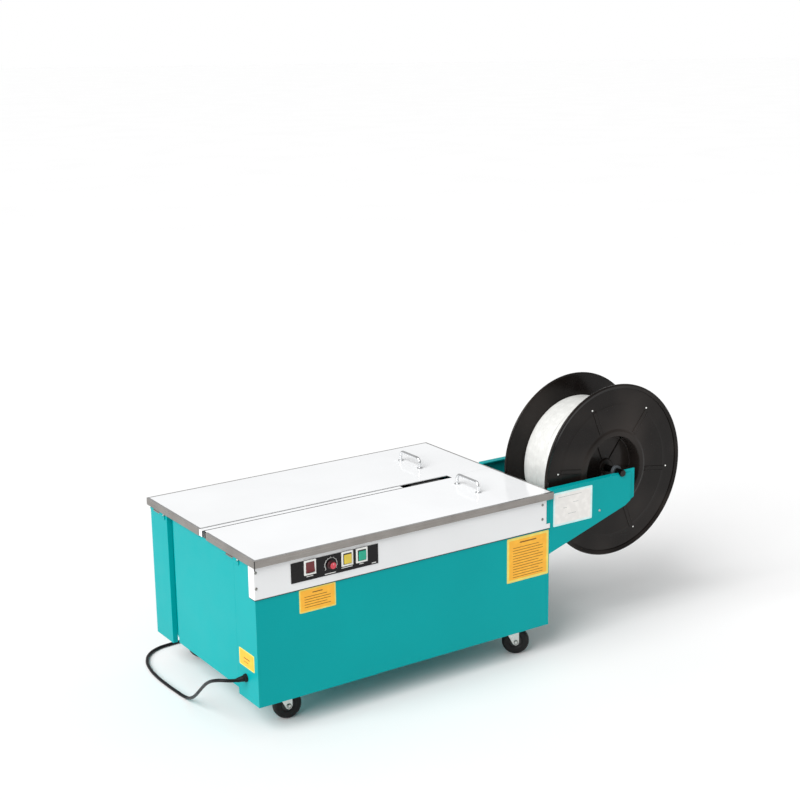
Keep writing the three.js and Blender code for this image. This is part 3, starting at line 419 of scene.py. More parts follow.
def lathe(shape, profile, centre, axis="y", segments=96, index=0, wave=None):
    """Turns a closed profile of (radius, height) pairs about an axis through `centre`.

    wave(angle, radius, height) may return a changed radius and height.
    """
    frames = {"x": (Vector((0, 1, 0)), Vector((0, 0, 1)), Vector((1, 0, 0))),
              "y": (Vector((1, 0, 0)), Vector((0, 0, 1)), Vector((0, 1, 0))),
              "z": (Vector((1, 0, 0)), Vector((0, 1, 0)), Vector((0, 0, 1)))}
    side, rise, along = frames[axis]
    part = bmesh.new()
    rings = []
    for step in range(segments):
        angle = 2 * math.pi * step / segments
        ring = []
        for radius, height in profile:
            if wave:
                radius, height = wave(angle, radius, height)
            outward = math.cos(angle) * side + math.sin(angle) * rise
            ring.append(part.verts.new(at(*(Vector(centre) + outward * radius + along * height))))
        rings.append(ring)
    count = len(profile)
    for ring, after in zip(rings, rings[1:] + rings[:1]):
        for i in range(count):
            j = (i + 1) % count
            part.faces.new((ring[i], ring[j], after[j], after[i]))
    bmesh.ops.remove_doubles(part, verts=part.verts, dist=1e-7)
    bmesh.ops.dissolve_degenerate(part, edges=part.edges, dist=1e-8)
    bmesh.ops.recalc_face_normals(part, faces=part.faces)
    for face in part.faces:
        face.material_index = index
    merge(shape, part)


def arc(cx, cy, radius, start, end, steps=5):
    """Points on a round stretch of a profile, with angles in degrees."""
    angles = [math.radians(start + (end - start) * i / steps) for i in range(steps + 1)]
    return [(cx + radius * math.cos(a), cy + radius * math.sin(a)) for a in angles]


def rod_along(shape, points, radius, sides):
    """A round rod with flat ends along a smooth list of points of the machine's frame."""
    part = bmesh.new()
    points = [Vector(p) for p in points]
    rings = []
    side = None
    for i, point in enumerate(points):
        ahead = points[min(i + 1, len(points) - 1)] - points[max(i - 1, 0)]
        ahead.normalize()
        if side is None:
            side = ahead.orthogonal().normalized()
        side = (side - side.dot(ahead) * ahead).normalized()
        rise = ahead.cross(side)
        rings.append([
            part.verts.new(at(*(point + radius * (math.cos(a) * side + math.sin(a) * rise))))
            for a in (2 * math.pi * k / sides for k in range(sides))
        ])
    for ring, after in zip(rings, rings[1:]):
        for k in range(sides):
            j = (k + 1) % sides
            part.faces.new((ring[k], ring[j], after[j], after[k]))
    part.faces.new(rings[0][::-1])
    part.faces.new(rings[-1])
    bmesh.ops.recalc_face_normals(part, faces=part.faces)
    merge(shape, part)


# ---- mains lead, coil, gland and plug ----
CORD_RADIUS = 4
LAID = CORD_RADIUS + 0.1
LIFTED = LAID + 8.1
COIL_CENTRE = Vector((-240, 384, 0))
COIL_RADII = (52, 43.9)
TURN_POINTS = 24
GLAND_SEAT = -421.8
CORD_ROUTE = [
    (-447.5, -214, 129), (-457, -213.6, 130.5), (-469.5, -209.5, 132.5), (-480.5, -200, 132.5),
    (-487, -186, 128.5), (-489.5, -168, 120.5), (-489, -146, 107.5), (-486, -118, 87.5),
    (-481.5, -86, 62.5), (-477, -55, 39), (-473, -26, 20.5),
    (-471, 0, 8.6), (-472.5, 26, LAID + 0.6), (-474.5, 60, LAID), (-477, 110, LAID), (-477, 165, LAID),
    (-471, 220, LAID), (-456, 270, LAID), (-432, 305, LAID), (-402, 324, LAID), (-362, 331, LAID),
    (-316, 332, LAID), (-272, 332, LAID),
]


def eased(value, start, end):
    """0 before start, 1 after end, and a smooth step between them."""
    share = min(1.0, max(0.0, (value - start) / (end - start)))
    return share * share * (3 - 2 * share)


def coil_points():
    """Three turns on the floor from outside in, then out again over the top of them."""
    outer, middle = COIL_RADII
    points = []
    for step in range(5 * TURN_POINTS + 1):
        turn = step / TURN_POINTS
        inward = eased(turn, 0.75, 1) + eased(turn, 1.75, 2)
        outward = eased(turn, 3.2, 3.45) + eased(turn, 4.2, 4.45)
        radius = outer - (outer - middle) * (inward - outward)
        height = LAID + (LIFTED - LAID) * eased(turn, 2.45, 2.75)
        angle = math.radians(360 * turn - 90)
        points.append((COIL_CENTRE.x + radius * math.cos(angle),
                       COIL_CENTRE.y + radius * math.sin(angle), height))
    return points


def make_cord(pieces_on_it):
    tail = span("mains_plug")[0]
    coil_end = (COIL_CENTRE.x + 17, COIL_CENTRE.y - COIL_RADII[0], LIFTED + 1.4)
    plug_tail = (tail.x - 0.3, COIL_CENTRE.y - COIL_RADII[0], 16.2)
    points = CORD_ROUTE + coil_points() + [coil_end, plug_tail]
    curve = bpy.data.curves.new("mains_lead", "CURVE")
    curve.dimensions = "3D"
    curve.bevel_depth = CORD_RADIUS * MM
    curve.bevel_resolution = 5
    curve.resolution_u = 8
    curve.use_fill_caps = True
    line = curve.splines.new("BEZIER")
    line.bezier_points.add(len(points) - 1)
    for knot, point in zip(line.bezier_points, points):
        knot.co = at(*point)
        knot.handle_left_type = "AUTO"
        knot.handle_right_type = "AUTO"
    curve.materials.append(finish_of("cord_rubber"))
    cord = bpy.data.objects.new("mains_lead", curve)
    bpy.context.scene.collection.objects.link(cord)
    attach(cord, BODY_OF["mains_cord"])
    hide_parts("mains_cord", "cord_coil")


def make_gland():
    """A hexagonal nut on a flange, then a ribbed sleeve that narrows towards the lead."""
    low, high = span("cord_gland")
    centre = (0, (low.y + high.y) / 2, (low.z + high.z) / 2)
    bore = CORD_RADIUS + 0.3
    face = GLAND_SEAT
    shape = bmesh.new()
    sleeve = [(bore, low.x), (4.7, low.x), (5, low.x + 0.6)]
    start, end, ribs = low.x + 2, face - 10, 5
    for i in range(ribs):
        here = start + (end - start) * i / ribs
        pitch = (end - start) / ribs
        radius = 4.9 + 1.5 * (i + 0.5) / ribs
        sleeve += [(radius, here), (radius + 0.5, here + 0.25 * pitch), (radius + 0.6, here + 0.6 * pitch),
                   (radius, here + 0.8 * pitch)]
    sleeve += [(7, face - 10), (7.4, face - 9), (7.4, face - 6), (bore, face - 6)]
    lathe(shape, sleeve, centre, "x", 48)
    nut = [(bore, face - 6.2), (8.4, face - 6.2), (9.4, face - 5.4), (9.4, face - 1.6), (8.8, face - 0.6),
           (bore, face - 0.6)]
    lathe(shape, nut, centre, "x", 6)
    washer = [(bore, face - 1.7), (9.6, face - 1.7), (10, face - 1.2), (10, face), (bore, face)]
    lathe(shape, washer, centre, "x", 64)
    lathe(shape, [(bore, face - 0.1), (7.3, face - 0.1), (7.3, high.x), (bore, high.x)], centre, "x", 40)
    return add_piece("cable_gland", shape, BODY_OF["cord_gland"], SLOT_OF["cord_gland"],
                     replaces=["cord_gland"])


def make_plug():
    """A moulded two-pin plug with a ribbed tail and flats for the fingers."""
    low, high = span("mains_plug")
    centre = (0, (low.y + high.y) / 2, (low.z + high.z) / 2)
    radius = (high.z - low.z) / 2
    face = low.x + 64
    shape = bmesh.new()

    def flats(angle, r, height):
        grip = 1 - 0.2 * abs(math.sin(angle)) ** 3 * eased(height, low.x + 30, low.x + 38)
        return min(r, r * (grip if height < face - 8 else 1)), height

    body = [(0, low.x), (5, low.x)]
    for i in range(6):
        here, root, ridge = low.x + 2 + 4 * i, 5.2 + 0.35 * i, 6.4 + 0.3 * i
        body += [(root, here), (ridge, here + 1), (ridge, here + 2.6), (root + 0.1, here + 3.4)]
    body += [(8.5, low.x + 28), (radius - 1.5, low.x + 35), (radius, low.x + 38), (radius, low.x + 46),
             (radius, low.x + 54), (radius, low.x + 57),
             *arc(radius - 1.5, face - 1.5, 1.5, 0, 90, 3), (0, face)]
    lathe(shape, body, centre, "x", 56, wave=flats)
    for side in (-1, 1):
        pin = [(0, face - 1), (2.4, face - 1), (2.4, high.x - 1), (1.6, high.x), (0, high.x)]
        lathe(shape, pin, (0, centre[1] + side * 9.5, centre[2]), "x", 24, index=1)
    return add_piece("plug_body", shape, BODY_OF["mains_plug"], SLOT_OF["mains_plug"],
                     ["cord_rubber", "zinc_plate"], ["mains_plug"])


make_cord([make_plug(), make_gland()])


# ---- screws ----
DOME_STEPS = 5


def screw_head(shape, place, axis, radius, height, index=0, outward=-1):
    """A low domed head with a cross recess, standing out of a face at `place`."""
    shoulder = [math.pi / 2 * i / DOME_STEPS for i in range(3)]
    rim = [(radius * math.cos(a), outward * height * math.sin(a)) for a in shoulder]
    slot_depth, slot_half = 0.45 * height, 0.13 * radius

    def crossed(angle, r, h):
        near = min(abs(r * math.sin(2 * angle)), r) / 2
        if abs(h) > 0.3 * height and near < slot_half and r < 0.7 * radius:
            return r, h - outward * slot_depth
        return r, h

    inner = [(radius * share, outward * height * math.sqrt(1 - share * share))
             for share in (0.66, 0.5, 0.3, 0.14)]
    lathe(shape, [*rim, *inner, (0, outward * height), (0, 0)], place, axis, 48, index, crossed)


# ---- cabinet ----
KNUCKLE_RADIUS = 3

for node in ("front_panel", "rear_panel", "left_side_panel", "right_side_panel"):
    refined(node, edge=0.4, fold=2.2)
refined("chassis_frame", edge=1.0)
refined("bottom_pan", edge=0.4)
refined("front_table_lid", edge=0.35)
refined("rear_table_lid", edge=0.35)
# Faces of the lid trims at the table's height take the paler stainless: a painted highlight on their top
# edge.
for side in ("front", "rear"):
    refined(f"{side}_lid_trim", edge=0.3, fold=0.9, finishes=["stainless", "trim_top_painted_highlight"],
            choose=lambda middle: middle.z > TABLE - 0.5)
# Faces of the slideway more than 2.5 mm below the table, except at its left end, are black: painted shade in
# the strap slot.
refined("strap_slideway", edge=0.25, finishes=["white_enamel", "blackened_steel"],
        choose=lambda middle: middle.z < TABLE - 2.5 and middle.x > -420)
# The fascia takes the darker copy of the white enamel: painted shade on its faces.
refined("control_fascia", edge=0.3, fold=1.6, finishes=["fascia_enamel_painted_shade"])
refined("control_plate", edge=0.25)
for lead in ("rocker", "yellow", "green"):
    refined(f"{lead}_bezel", edge=0.7)


def make_hinge(side):
    """The painted leaf with its knuckles, and a bright domed end on each end of the pin."""
    node = f"{side}_hinge_base"
    low, high = span(node)
    refined(node, edge=0.35)
    shape = bmesh.new()
    knuckle = (low.x + KNUCKLE_RADIUS, 0, high.z - KNUCKLE_RADIUS)
    for end, outward in ((low.y, -1), (high.y, 1)):
        dome = [(r, end + outward * h) for r, h in ((0, 0), (2.4, 0), (2.4, 0.5), (1.8, 1.4), (0, 1.8))]
        lathe(shape, dome, knuckle, "y", 24)
    add_piece(f"{side}_hinge_pin_ends", shape, BODY_OF[node], "zinc_plate")


for side in ("front", "rear"):
    make_hinge(side)


def make_fascia_screws():
    low = span("control_fascia")[0]
    shape = bmesh.new()
    for drop in (31, 69):
        screw_head(shape, (397, low.y, TABLE - drop), "y", 3.6, 2)
        screw_head(shape, (low.x + 4.4, low.y, TABLE - drop), "y", 3.6, 2)
    add_piece("fascia_screws", shape, "base", "zinc_plate", ["screw_zinc"])


def make_seams():
    """A black strip under the fascia as painted shadow, and the open mitre of the front trim at its left
    corner.
    """
    low, high = span("control_fascia")
    panel = span("front_panel")[0]
    shape = bmesh.new()
    for far in ((high.x - 0.4, panel.y + 0.05), (panel.x + 0.05, low.y + 27)):
        slab(shape, (low.x + 0.2, low.y + 0.2, low.z - 2), (*far, low.z + 0.1), 0.2, 1)
    add_piece("fascia_painted_shadow_strip", shape, "base", "black_film", ["dark_gap"])
    trim_low, trim_high = span("front_lid_trim")
    edge = span("front_table_lid")[0].x - 6.3
    shape = bmesh.new()
    slab(shape, (edge + 0.6, trim_low.y - 0.03, trim_low.z + 0.3),
         (edge + 3, trim_low.y + 0.6, trim_high.z - 0.8))
    add_piece("front_trim_seam", shape, "front_lid", "black_film", ["dark_gap"])


make_fascia_screws()
make_seams()


# ---- switches and knob ----
def make_button(node, name, lens):
    """A black plunger with a coloured lens let into its face."""
    low, high = span(node)
    shape = bmesh.new()
    slab(shape, (low.x, low.y + 1.9, low.z), high, 0.6, index=1)
    slab(shape, (low.x + 2, low.y, low.z + 1.2), (high.x - 0.8, low.y + 4, high.z - 2.8), 1.1, 4)
    add_piece(name, shape, BODY_OF[node], SLOT_OF[node], [lens, "dark_gap"], [node])


make_button("feed_button_yellow", "feed_button", "yellow_button")
make_button("reset_button_green", "reset_button", "green_button")
refined("power_rocker", edge=0.9, name="rocker_cap")


def make_knob():
    """A skirted cap with fluted sides and a pointer line."""
    low, high = span("tension_knob")
    centre = ((low.x + high.x) / 2, 0, (low.z + high.z) / 2)
    radius = (high.x - low.x) / 2
    skirt = low.y + 12
    flutes = 22
    profile = [(0, low.y), (radius * 0.62, low.y), *arc(radius * 0.62, low.y + 1.2, 1.2, -90, 0, 4),
               (radius * 0.8, low.y + 7.6), (radius * 0.84, low.y + 8.4), (radius - 0.5, low.y + 9),
               (radius, low.y + 9.6), (radius, skirt), (3, skirt), (3, high.y), (0, high.y)]

    def fluted(angle, r, h):
        sides = low.y + 1 < h < low.y + 8
        return r - (0.45 * math.cos(flutes * angle) if sides else 0), h

    shape = bmesh.new()
    lathe(shape, profile, centre, "y", 176, wave=fluted)
    for face in shape.faces:
        if (face.calc_center_median().y - TABLE_CENTRE.y) / MM > low.y + 2.2:
            face.material_index = 2
    slab(shape, (centre[0] - 0.5, low.y - 0.06, centre[2] + 1.5),
         (centre[0] + 0.5, low.y + 1, centre[2] + 6), 0.1, 2, 1)
    add_piece("knob_cap", shape, BODY_OF["tension_knob"], SLOT_OF["tension_knob"],
              ["red_knob", "legend", "knob_skirt"], ["tension_knob"])


make_knob()


def make_plate_print():
    """Raised print on the control plate: a dial scale and a plain bar under each control."""
    low, high = span("control_plate")
    front = low.y - 0.12
    knob_low, knob_high = span("tension_knob")
    cx, cz = (knob_low.x + knob_high.x) / 2, (knob_low.z + knob_high.z) / 2
    shape = bmesh.new()
    bars = [("rocker_bezel", 18), ("yellow_bezel", 30), ("green_bezel", 12)]
    for node, width in bars:
        a, b = span(node)
        x = (a.x + b.x) / 2
        slab(shape, (x - width / 2, front, a.z - 5.4), (x + width / 2, low.y + 0.2, a.z - 3.4), 0.3, 2)
    slab(shape, (cx - 17, front, cz - 22), (cx + 13, low.y + 0.2, cz - 20), 0.3, 2)
    slab(shape, (high.x - 18, front, low.z + 3), (high.x - 6, low.y + 0.2, low.z + 5), 0.3, 2)
    start, end, steps, inner, outer = -35, 215, 40, 15.6, 16.8
    ring = bmesh.new()
    for i in range(steps):
        for side in (0, 1):
            angle = math.radians(start + (end - start) * (i + side) / steps)
            for y in (front, low.y + 0.2):
                for r in (inner, outer):
                    ring.verts.new(at(cx + r * math.cos(angle), y, cz + r * math.sin(angle)))
        ring.verts.ensure_lookup_table()
        bmesh.ops.convex_hull(ring, input=ring.verts[-8:])
    merge(shape, ring)
    for i in range(11):
        angle = math.radians(start + (end - start) * i / 10)
        tick = bmesh.new()
        bmesh.ops.create_cube(tick, size=1)
        long = 3.2 if i % 5 == 0 else 2
        for v in tick.verts:
            r = outer - 0.4 + (v.co.x + 0.5) * long
            across = v.co.z * 0.7
            v.co = at(cx + r * math.cos(angle) - across * math.sin(angle), front + (v.co.y + 0.5) * 0.3,
                      cz + r * math.sin(angle) + across * math.cos(angle))
        bmesh.ops.recalc_face_normals(tick, faces=tick.faces)
        merge(shape, tick)
    add_piece("plate_print", shape, "base", "pale_plastic", ["legend"])


make_plate_print()


# ---- lift handles ----
def make_handle(side):
    """A bent rod that stands on two pressed washers."""
    node = f"{side}_lift_handle"
    low, high = span(node)
    radius = (high.x - low.x) / 2
    x = (low.x + high.x) / 2
    top, foot = high.z - radius, low.z
    y0, y1 = low.y + radius, high.y - radius
    bend = 12
    shape = bmesh.new()
    path = [(x, y0, foot), (x, y0, (foot + top - bend) / 2)]
    path += [(x, y, z) for y, z in arc(y0 + bend, top - bend, bend, 180, 90, 10)]
    path += [(x, y, z) for y, z in arc(y1 - bend, top - bend, bend, 90, 0, 10)]
    path += [(x, y1, (foot + top - bend) / 2), (x, y1, foot)]
    rod_along(shape, path, radius, 28)
    for y in (y0, y1):
        collar = [(radius - 0.5, foot), (8, foot), (8, foot + 0.8), (6, foot + 2.2),
                  (radius - 0.5, foot + 2.6)]
        lathe(shape, collar, (x, y, 0), "z", 48)
    add_piece(f"{side}_handle_rod", shape, BODY_OF[node], SLOT_OF[node], replaces=[node])


for side in ("front", "rear"):
    make_handle(side)


# ---- stickers ----
def sticker(name, origin, right, up, width, height, finishes, rules):
    """A thin plate with a border, a field and plain ruled bars: no lettering.

    `origin` is its lower left corner seen from outside, `right` and `up` are its directions, and
    each rule is (left, width, height up, thickness) in shares of the plate.
    """
    right, up = Vector(right), Vector(up)
    out = right.cross(up)
    shape = bmesh.new()

    def plate(u0, u1, v0, v1, depth, index, radius):
        part = bmesh.new()
        corners = []
        for cu, cv, start in ((u1 - radius, v0 + radius, -90), (u1 - radius, v1 - radius, 0),
                              (u0 + radius, v1 - radius, 90), (u0 + radius, v0 + radius, 180)):
            corners += arc(cu, cv, radius, start, start + 90, 4)
        flat = Vector(origin)
        rings = []
        for rise, inset in ((0, 0), (depth - 0.05, 0), (depth, 0.05)):
            middle = Vector(((u0 + u1) / 2, (v0 + v1) / 2))
            ring = []
            for u, v in corners:
                shrink = 1 - inset / max(u1 - u0, v1 - v0)
                du, dv = (u - middle.x) * shrink + middle.x, (v - middle.y) * shrink + middle.y
                ring.append(part.verts.new(at(*(flat + right * du + up * dv + out * rise))))
            rings.append(ring)
        for ring, after in zip(rings, rings[1:]):
            for k in range(len(ring)):
                j = (k + 1) % len(ring)
                part.faces.new((ring[k], ring[j], after[j], after[k]))
        part.faces.new(rings[0][::-1])
        part.faces.new(rings[-1])
        bmesh.ops.recalc_face_normals(part, faces=part.faces)
        for face in part.faces:
            face.material_index = index
        merge(shape, part)

    edge = min(width, height) * 0.055
    plate(0, width, 0, height, 0.25, 0, 2.5)
    plate(edge, width - edge, edge, height - edge, 0.33, 1, 1.5)
    for left, wide, rise, thick in rules:
        foot = rise * height
        plate(left * width, (left + wide) * width, foot, foot + thick, 0.38, 2, thick * 0.45)
    add_piece(name, shape, "base", "pale_plastic", finishes)


ORANGE = ["label_border", "label_field", "label_rule"]
panel_face = span("front_panel")[0].y - 0.05
left_face = span("front_panel")[0].x - 0.05
arm_face = span("front_reel_arm")[0].y - 0.05


def ruled(lines, top, bottom, thick, start=0.14, short=0.62):
    """Evenly spaced bars of two lengths."""
    rows = []
    for i in range(lines):
        rise = top - (top - bottom) * i / (lines - 1)
        rows.append((start, 0.72 if i % 3 else short, rise, thick))
    return rows


sticker("small_front_label", (-309, panel_face, TABLE - 156), (1, 0, 0), (0, 0, 1), 97, 57, ORANGE,
        [(0.36, 0.28, 0.78, 2.2)] + ruled(5, 0.64, 0.2, 1.3))
sticker("large_front_label", (287, panel_face, TABLE - 218), (1, 0, 0), (0, 0, 1), 132, 117, ORANGE,
        [(0.3, 0.4, 0.86, 3)] + ruled(12, 0.76, 0.1, 1.3))
sticker("left_label", (left_face, -184, TABLE - 279), (0, -1, 0), (0, 0, 1), 72, 41, ORANGE,
        [(0.3, 0.4, 0.5, 2.5), (0.3, 0.3, 0.3, 1.5)])
sticker("arm_card", (434, arm_face, TABLE - 98), (1, 0, 0), (0, 0, 1), 128, 89,
        ["card_border", "card_field", "card_rule"],
        [(0.12, 0.6, 0.84, 1), (0.25, 0.1, 0.5, 1), (0.5, 0.14, 0.62, 1), (0.38, 0.2, 0.3, 1)])


# ---- reel arms ----
for side in ("front", "rear"):
    refined(f"{side}_reel_arm", edge=0.9, fold=2.6)


def make_arm_fasteners():
    """A screw low on each arm."""
    shape = bmesh.new()
    screw_head(shape, (588, arm_face, TABLE - 83), "y", 3.4, 2.2)
    rear_face = span("rear_reel_arm")[1].y
    screw_head(shape, (588, rear_face, TABLE - 83), "y", 3.4, 2.2, outward=1)
    add_piece("arm_screws", shape, "base", "zinc_plate")


make_arm_fasteners()


# ---- reel ----
reel_low, reel_high = span("front_reel_flange")
REEL_X = (reel_low.x + reel_high.x) / 2
REEL_Z = (reel_low.z + reel_high.z) / 2
REEL_RADIUS = (reel_high.x - reel_low.x) / 2
HUB_RADIUS = 90
HUB_DEPTH = 40
SHEET = 3
RIB_ANGLES = [112 - 60 * i for i in range(6)]
RIB_BARS = (
    ((112, 2.6, -6.5), (180, 5.5, -3.9), 1.2),
    ((112, 2.6, 3.9), (180, 5.5, 6.5), 1.2),
    ((113, 3.6, -5), (178, 5.4, 5), 0.6),
)


def make_flange(node, face, inward):
    """A dished disc with a rolled rim, a raised ring round a deep cup, and six pressed bars."""
    R, hub = REEL_RADIUS, HUB_RADIUS
    outer = [
        *arc(R - 4, 4, 4, 90, -90, 8), *arc(R - 8.4, 4.1, 3.4, -160, -200, 2),
        (R - 13.5, 5.0), (186, 5.0), (178, 4.9), (176, 4.3), (173, 4.1), (171, 4.5), (112, 4.6),
        (108.5, 4.2), (105, 2.7), (102, 2.1), (94, 2.0), (91.4, 2.5), (90, 4.2),
        (88.4, HUB_DEPTH - 4), (87, HUB_DEPTH - 1.2),
        (84, HUB_DEPTH), (27, HUB_DEPTH), (24, HUB_DEPTH - 1), (22.5, HUB_DEPTH - 8), (21, HUB_DEPTH - 9),
        (9.4, HUB_DEPTH - 9),
    ]
    inner = [
        (9.4, HUB_DEPTH + SHEET), (86, HUB_DEPTH + SHEET), (hub + 1.2, HUB_DEPTH - 1), (hub + 2.8, 9),
        (hub + 5, 8), (R - 10, 8), (R - 6, 7.8),
    ]
    profile = [(r, face + inward * h) for r, h in outer + inner]
    centre = (REEL_X, 0, REEL_Z)
    shape = bmesh.new()
    lathe(shape, profile, centre, "y", 144)
    for angle in RIB_ANGLES:
        turn = Matrix.Rotation(math.radians(-angle), 3, "Y")
        for low, high, radius in RIB_BARS:
            bar = bmesh.new()
            slab(bar, low, high, radius, 3)
            for v in bar.verts:
                local = (v.co - TABLE_CENTRE) / MM
                local.y = face + inward * local.y
                v.co = at(*(Vector((REEL_X, 0, REEL_Z)) + turn @ local))
            bmesh.ops.recalc_face_normals(bar, faces=bar.faces)
            merge(shape, bar)
        # The studs at the ends of the bars take the pale finish: painted glints on the black flange.
        dot = Vector(centre) + turn @ Vector((187, 0, 5.2))
        stud = [(r, face + inward * h) for r, h in ((0, 2.9), (1.2, 3.1), (2, 3.9), (2.2, 5.6), (0, 5.6))]
        lathe(shape, stud, (dot.x, 0, dot.z), "y", 20, index=1)
        rib = bmesh.new()
        slab(rib, (23, 0, -0.7), (87, 3, 0.7), 0.4, 2)
        for v in rib.verts:
            local = (v.co - TABLE_CENTRE) / MM
            local.y = face + inward * (HUB_DEPTH + 0.5 - local.y)
            v.co = at(*(Vector((REEL_X, 0, REEL_Z)) + turn @ local))
        bmesh.ops.recalc_face_normals(rib, faces=rib.faces)
        merge(shape, rib)
    add_piece(f"{node}_moulding", shape, BODY_OF[node], SLOT_OF[node],
              [SLOT_OF[node], "pale_plastic"], [node])


make_flange("front_reel_flange", reel_low.y, 1)
make_flange("rear_reel_flange", span("rear_reel_flange")[1].y, -1)


def ribbon(shape, radius, thick, width, start, pitch, turns, steps=90):
    """A flat strap wound round the reel as a helix, its edges a little lower than its middle."""
    part = bmesh.new()
    half = width / 2
    section = [(-half, 0), (-half, thick * 0.6), (-half + 0.7, thick),
               (half - 0.7, thick), (half, thick * 0.6), (half, 0)]
    rings = []
    for step in range(int(turns * steps) + 1):
        angle = 2 * math.pi * step / steps
        y = start + pitch * step / steps + 0.5 * math.sin(3.1 * step / steps)
        ring = []
        for across, h in section:
            x, z = (radius + h) * math.cos(angle), (radius + h) * math.sin(angle)
            ring.append(part.verts.new(at(REEL_X + x, y + across, REEL_Z + z)))
        rings.append(ring)
    for ring, after in zip(rings, rings[1:]):
        for k in range(len(section)):
            j = (k + 1) % len(section)
            part.faces.new((ring[k], ring[j], after[j], after[k]))
    part.faces.new(rings[0][::-1])
    part.faces.new(rings[-1])
    bmesh.ops.recalc_face_normals(part, faces=part.faces)
    merge(shape, part)


def make_strap():
    """The wound strap: a solid pack with its last two layers of strap laid over it."""
    low, high = span("strap_coil")
    outer = (high.x - low.x) / 2
    shape = bmesh.new()
    bore = 102.4
    body = [(bore, low.y), (outer - 1.9, low.y), (outer - 1.6, low.y + 0.5), (outer - 1.6, high.y - 0.5),
            (outer - 1.9, high.y), (bore, high.y)]
    lathe(shape, body, (REEL_X, 0, REEL_Z), "y", 144)
    width = 12.2
    room = high.y - low.y - width - 1.2
    pitch = width + 0.35
    ribbon(shape, outer - 1.65, 0.75, width, low.y + width / 2 + 0.6, pitch, room / pitch)
    ribbon(shape, outer - 0.9, 0.75, width, high.y - width / 2 - 1, -(width + 2.4), 9.6)
    add_piece("wound_strap", shape, BODY_OF["strap_coil"], SLOT_OF["strap_coil"], replaces=["strap_coil"])


make_strap()


def make_core():
    low, high = span("reel_core")
    outer = (high.x - low.x) / 2
    shape = bmesh.new()
    wall = [(outer - 6, low.y), (outer, low.y), (outer, high.y), (outer - 6, high.y)]
    lathe(shape, wall, (REEL_X, 0, REEL_Z), "y", 144)
    add_piece("core_tube", shape, BODY_OF["reel_core"], SLOT_OF["reel_core"], replaces=["reel_core"])


make_core()


SHAFT_RADIUS = 9
COLLARS_Y = (-248.5, 11)


def make_shaft():
    """The shaft with chamfered ends, and its two collars."""
    low, high = span("reel_shaft")
    centre = (REEL_X, 0, REEL_Z)
    r = SHAFT_RADIUS
    shape = bmesh.new()
    bar = [(0, low.y), (r - 1.2, low.y), (r, low.y + 1.2), (r, high.y - 1.2), (r - 1.2, high.y), (0, high.y)]
    lathe(shape, bar, centre, "y", 64)
    for y in COLLARS_Y:
        collar = [(r - 0.5, y - 4.5), (14, y - 4.5), (15, y - 3.5), (15, y + 3.5), (14, y + 4.5),
                  (r - 0.5, y + 4.5)]
        lathe(shape, collar, centre, "y", 64, index=1)
    add_piece("shaft_and_collars", shape, BODY_OF["reel_shaft"], SLOT_OF["reel_shaft"],
              ["blackened_steel", "cast_metal"], ["reel_shaft"])


make_shaft()


# ---- casters ----
WHEEL_RADIUS = 35
WHEEL_WIDTH = 24


def joint_of(name):
    return next(joint for joint in record["behaviour"]["joints"] if joint["name"] == name)


def make_wheel(lead):
    """A hard rubber tyre with ribs across its shoulders, on a black hub, and a socket screw as axle."""
    node = f"{lead}_caster_wheel"
    joint = joint_of(f"{lead}_wheel_spin")
    centre = Vector(joint["pos_m"])
    turn = Matrix.Rotation(math.atan2(-joint["axis"][0], joint["axis"][1]), 3, "Z")
    r, y1, ribs = WHEEL_RADIUS, WHEEL_WIDTH / 2, 44
    half = [(16, y1 - 2.2), (19, y1 - 0.6), (r - 9, y1 - 0.2), (r - 6, y1), (r - 4, y1 - 0.9),
            (r - 1.6, y1 - 3.2), (r - 0.4, y1 - 6.5), (r - 0.02, 1.5), (r - 0.7, 0.6)]
    tyre = [(a, -b) for a, b in half] + half[::-1]

    def ridged(angle, radius, height):
        shoulder = 20 < radius < r - 1
        depth = 0.55 * (0.5 + 0.5 * math.cos(ribs * angle)) if shoulder else 0
        return radius, height + (depth if height < 0 else -depth)

    def placed(shape):
        for vertex in shape.verts:
            vertex.co = centre + turn @ (vertex.co - TABLE_CENTRE)

    shape = bmesh.new()
    lathe(shape, tyre, (0, 0, 0), "y", 352, wave=ridged)
    half = [(4.6, y1 - 0.4), (8, y1 - 0.4), (9, y1 - 3), (15, y1 - 4), (16.4, y1 - 2.6)]
    lathe(shape, [(a, -b) for a, b in half] + half[::-1], (0, 0, 0), "y", 64, index=1)
    placed(shape)
    add_piece(f"{lead}_tyre", shape, BODY_OF[node], SLOT_OF[node], ["wheel_rubber", "dark_gap"], [node])
    shape = bmesh.new()
    for side in (-1, 1):
        face = side * (y1 + 7)
        head = [(0, face - side * 1.1), (3.2, face - side * 1.1), (3.2, face + side * 0.9),
                (5.2, face + side * 0.9), (6, face + side * 0.2), (6, face - side * 2), (0, face - side * 2)]
        lathe(shape, head, (0, 0, 0), "y", 24)
    # The floor of each socket is black: painted shade in the recess.
    for face in shape.faces:
        local = (face.calc_center_median() - TABLE_CENTRE) / MM
        if math.hypot(local.x, local.z) < 3:
            face.material_index = 1
    placed(shape)
    fork = f"{lead}_caster_fork"
    add_piece(f"{lead}_axle_heads", shape, BODY_OF[fork], SLOT_OF[fork], ["screw_zinc", "dark_gap"])


for lead in ("front_left", "front_right", "rear_left", "rear_right"):
    make_wheel(lead)
    refined(f"{lead}_caster_fork", edge=0.5)


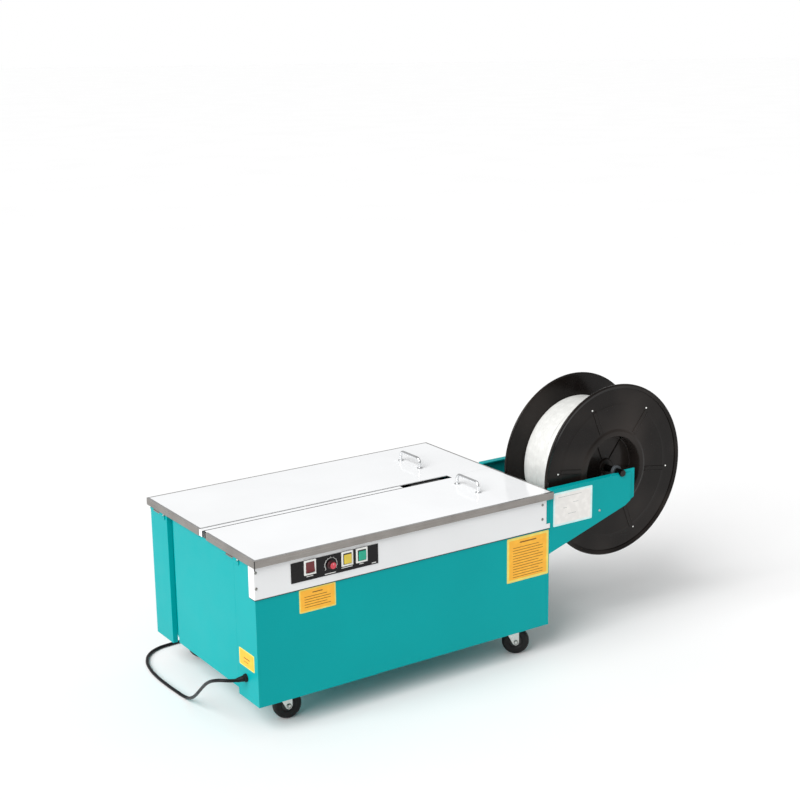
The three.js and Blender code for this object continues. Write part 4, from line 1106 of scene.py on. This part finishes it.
# ---- inside the cabinet ----
INSIDE = {
    "head_frame": 0.8, "cam_shaft": 0.5, "left_gripper": 0.5, "centre_press": 0.5, "right_gripper": 0.5,
    "anvil_slide": 0.5, "heater_carriage": 0.2, "feed_roller": 0.5, "main_motor": 1.2, "gearbox": 1.5,
    "motor_pulley": 0.5, "gearbox_pulley": 0.5, "drive_belt": 0.5, "strap_pool_box": 0.4,
    "electrical_box": 1.0, "dancer_lever": 0.5, "guide_roller": 0.6,
}
for node, edge in INSIDE.items():
    refined(node, edge=edge)


# ---- floor and light ----
def make_stage():
    floor = bmesh.new()
    bmesh.ops.create_grid(floor, x_segments=1, y_segments=1, size=200)
    mesh = bpy.data.meshes.new("floor")
    floor.to_mesh(mesh)
    floor.free()
    ground = bpy.data.objects.new("floor", mesh)
    ground.location.z = -0.0005
    bpy.context.scene.collection.objects.link(ground)
    cover = Finish("pale floor", (0.93, 0.93, 0.93), 0.6)
    cover.tint(cover.noise(1.5), (0.95, 0.95, 0.95))
    mesh.materials.append(cover.material)


SKY = 0.45
KEY = 3.5
KEY_DIRECTION = (0.75, 0.2, -0.63)


def make_light():
    """A soft sun from the upper left, and a dim white sky that the camera sees as white."""
    world = bpy.data.worlds.new("studio")
    bpy.context.scene.world = world
    world.use_nodes = True
    tree = world.node_tree
    sky = tree.nodes["Background"]
    sky.inputs["Color"].default_value = (1, 1, 1, 1)
    sky.inputs["Strength"].default_value = SKY
    backdrop = tree.nodes.new("ShaderNodeBackground")
    backdrop.inputs["Color"].default_value = (1, 1, 1, 1)
    seen = tree.nodes.new("ShaderNodeLightPath")
    mix = tree.nodes.new("ShaderNodeMixShader")
    tree.links.new(seen.outputs["Is Camera Ray"], mix.inputs["Fac"])
    tree.links.new(sky.outputs["Background"], mix.inputs[1])
    tree.links.new(backdrop.outputs["Background"], mix.inputs[2])
    tree.links.new(mix.outputs["Shader"], tree.nodes["World Output"].inputs["Surface"])
    data = bpy.data.lights.new("key", "SUN")
    data.energy = KEY
    data.angle = math.radians(50)
    light = bpy.data.objects.new("key", data)
    bpy.context.scene.collection.objects.link(light)
    light.rotation_euler = Vector(KEY_DIRECTION).to_track_quat("-Z", "Y").to_euler()


make_stage()
make_light()
bpy.context.scene.view_settings.view_transform = "Standard"
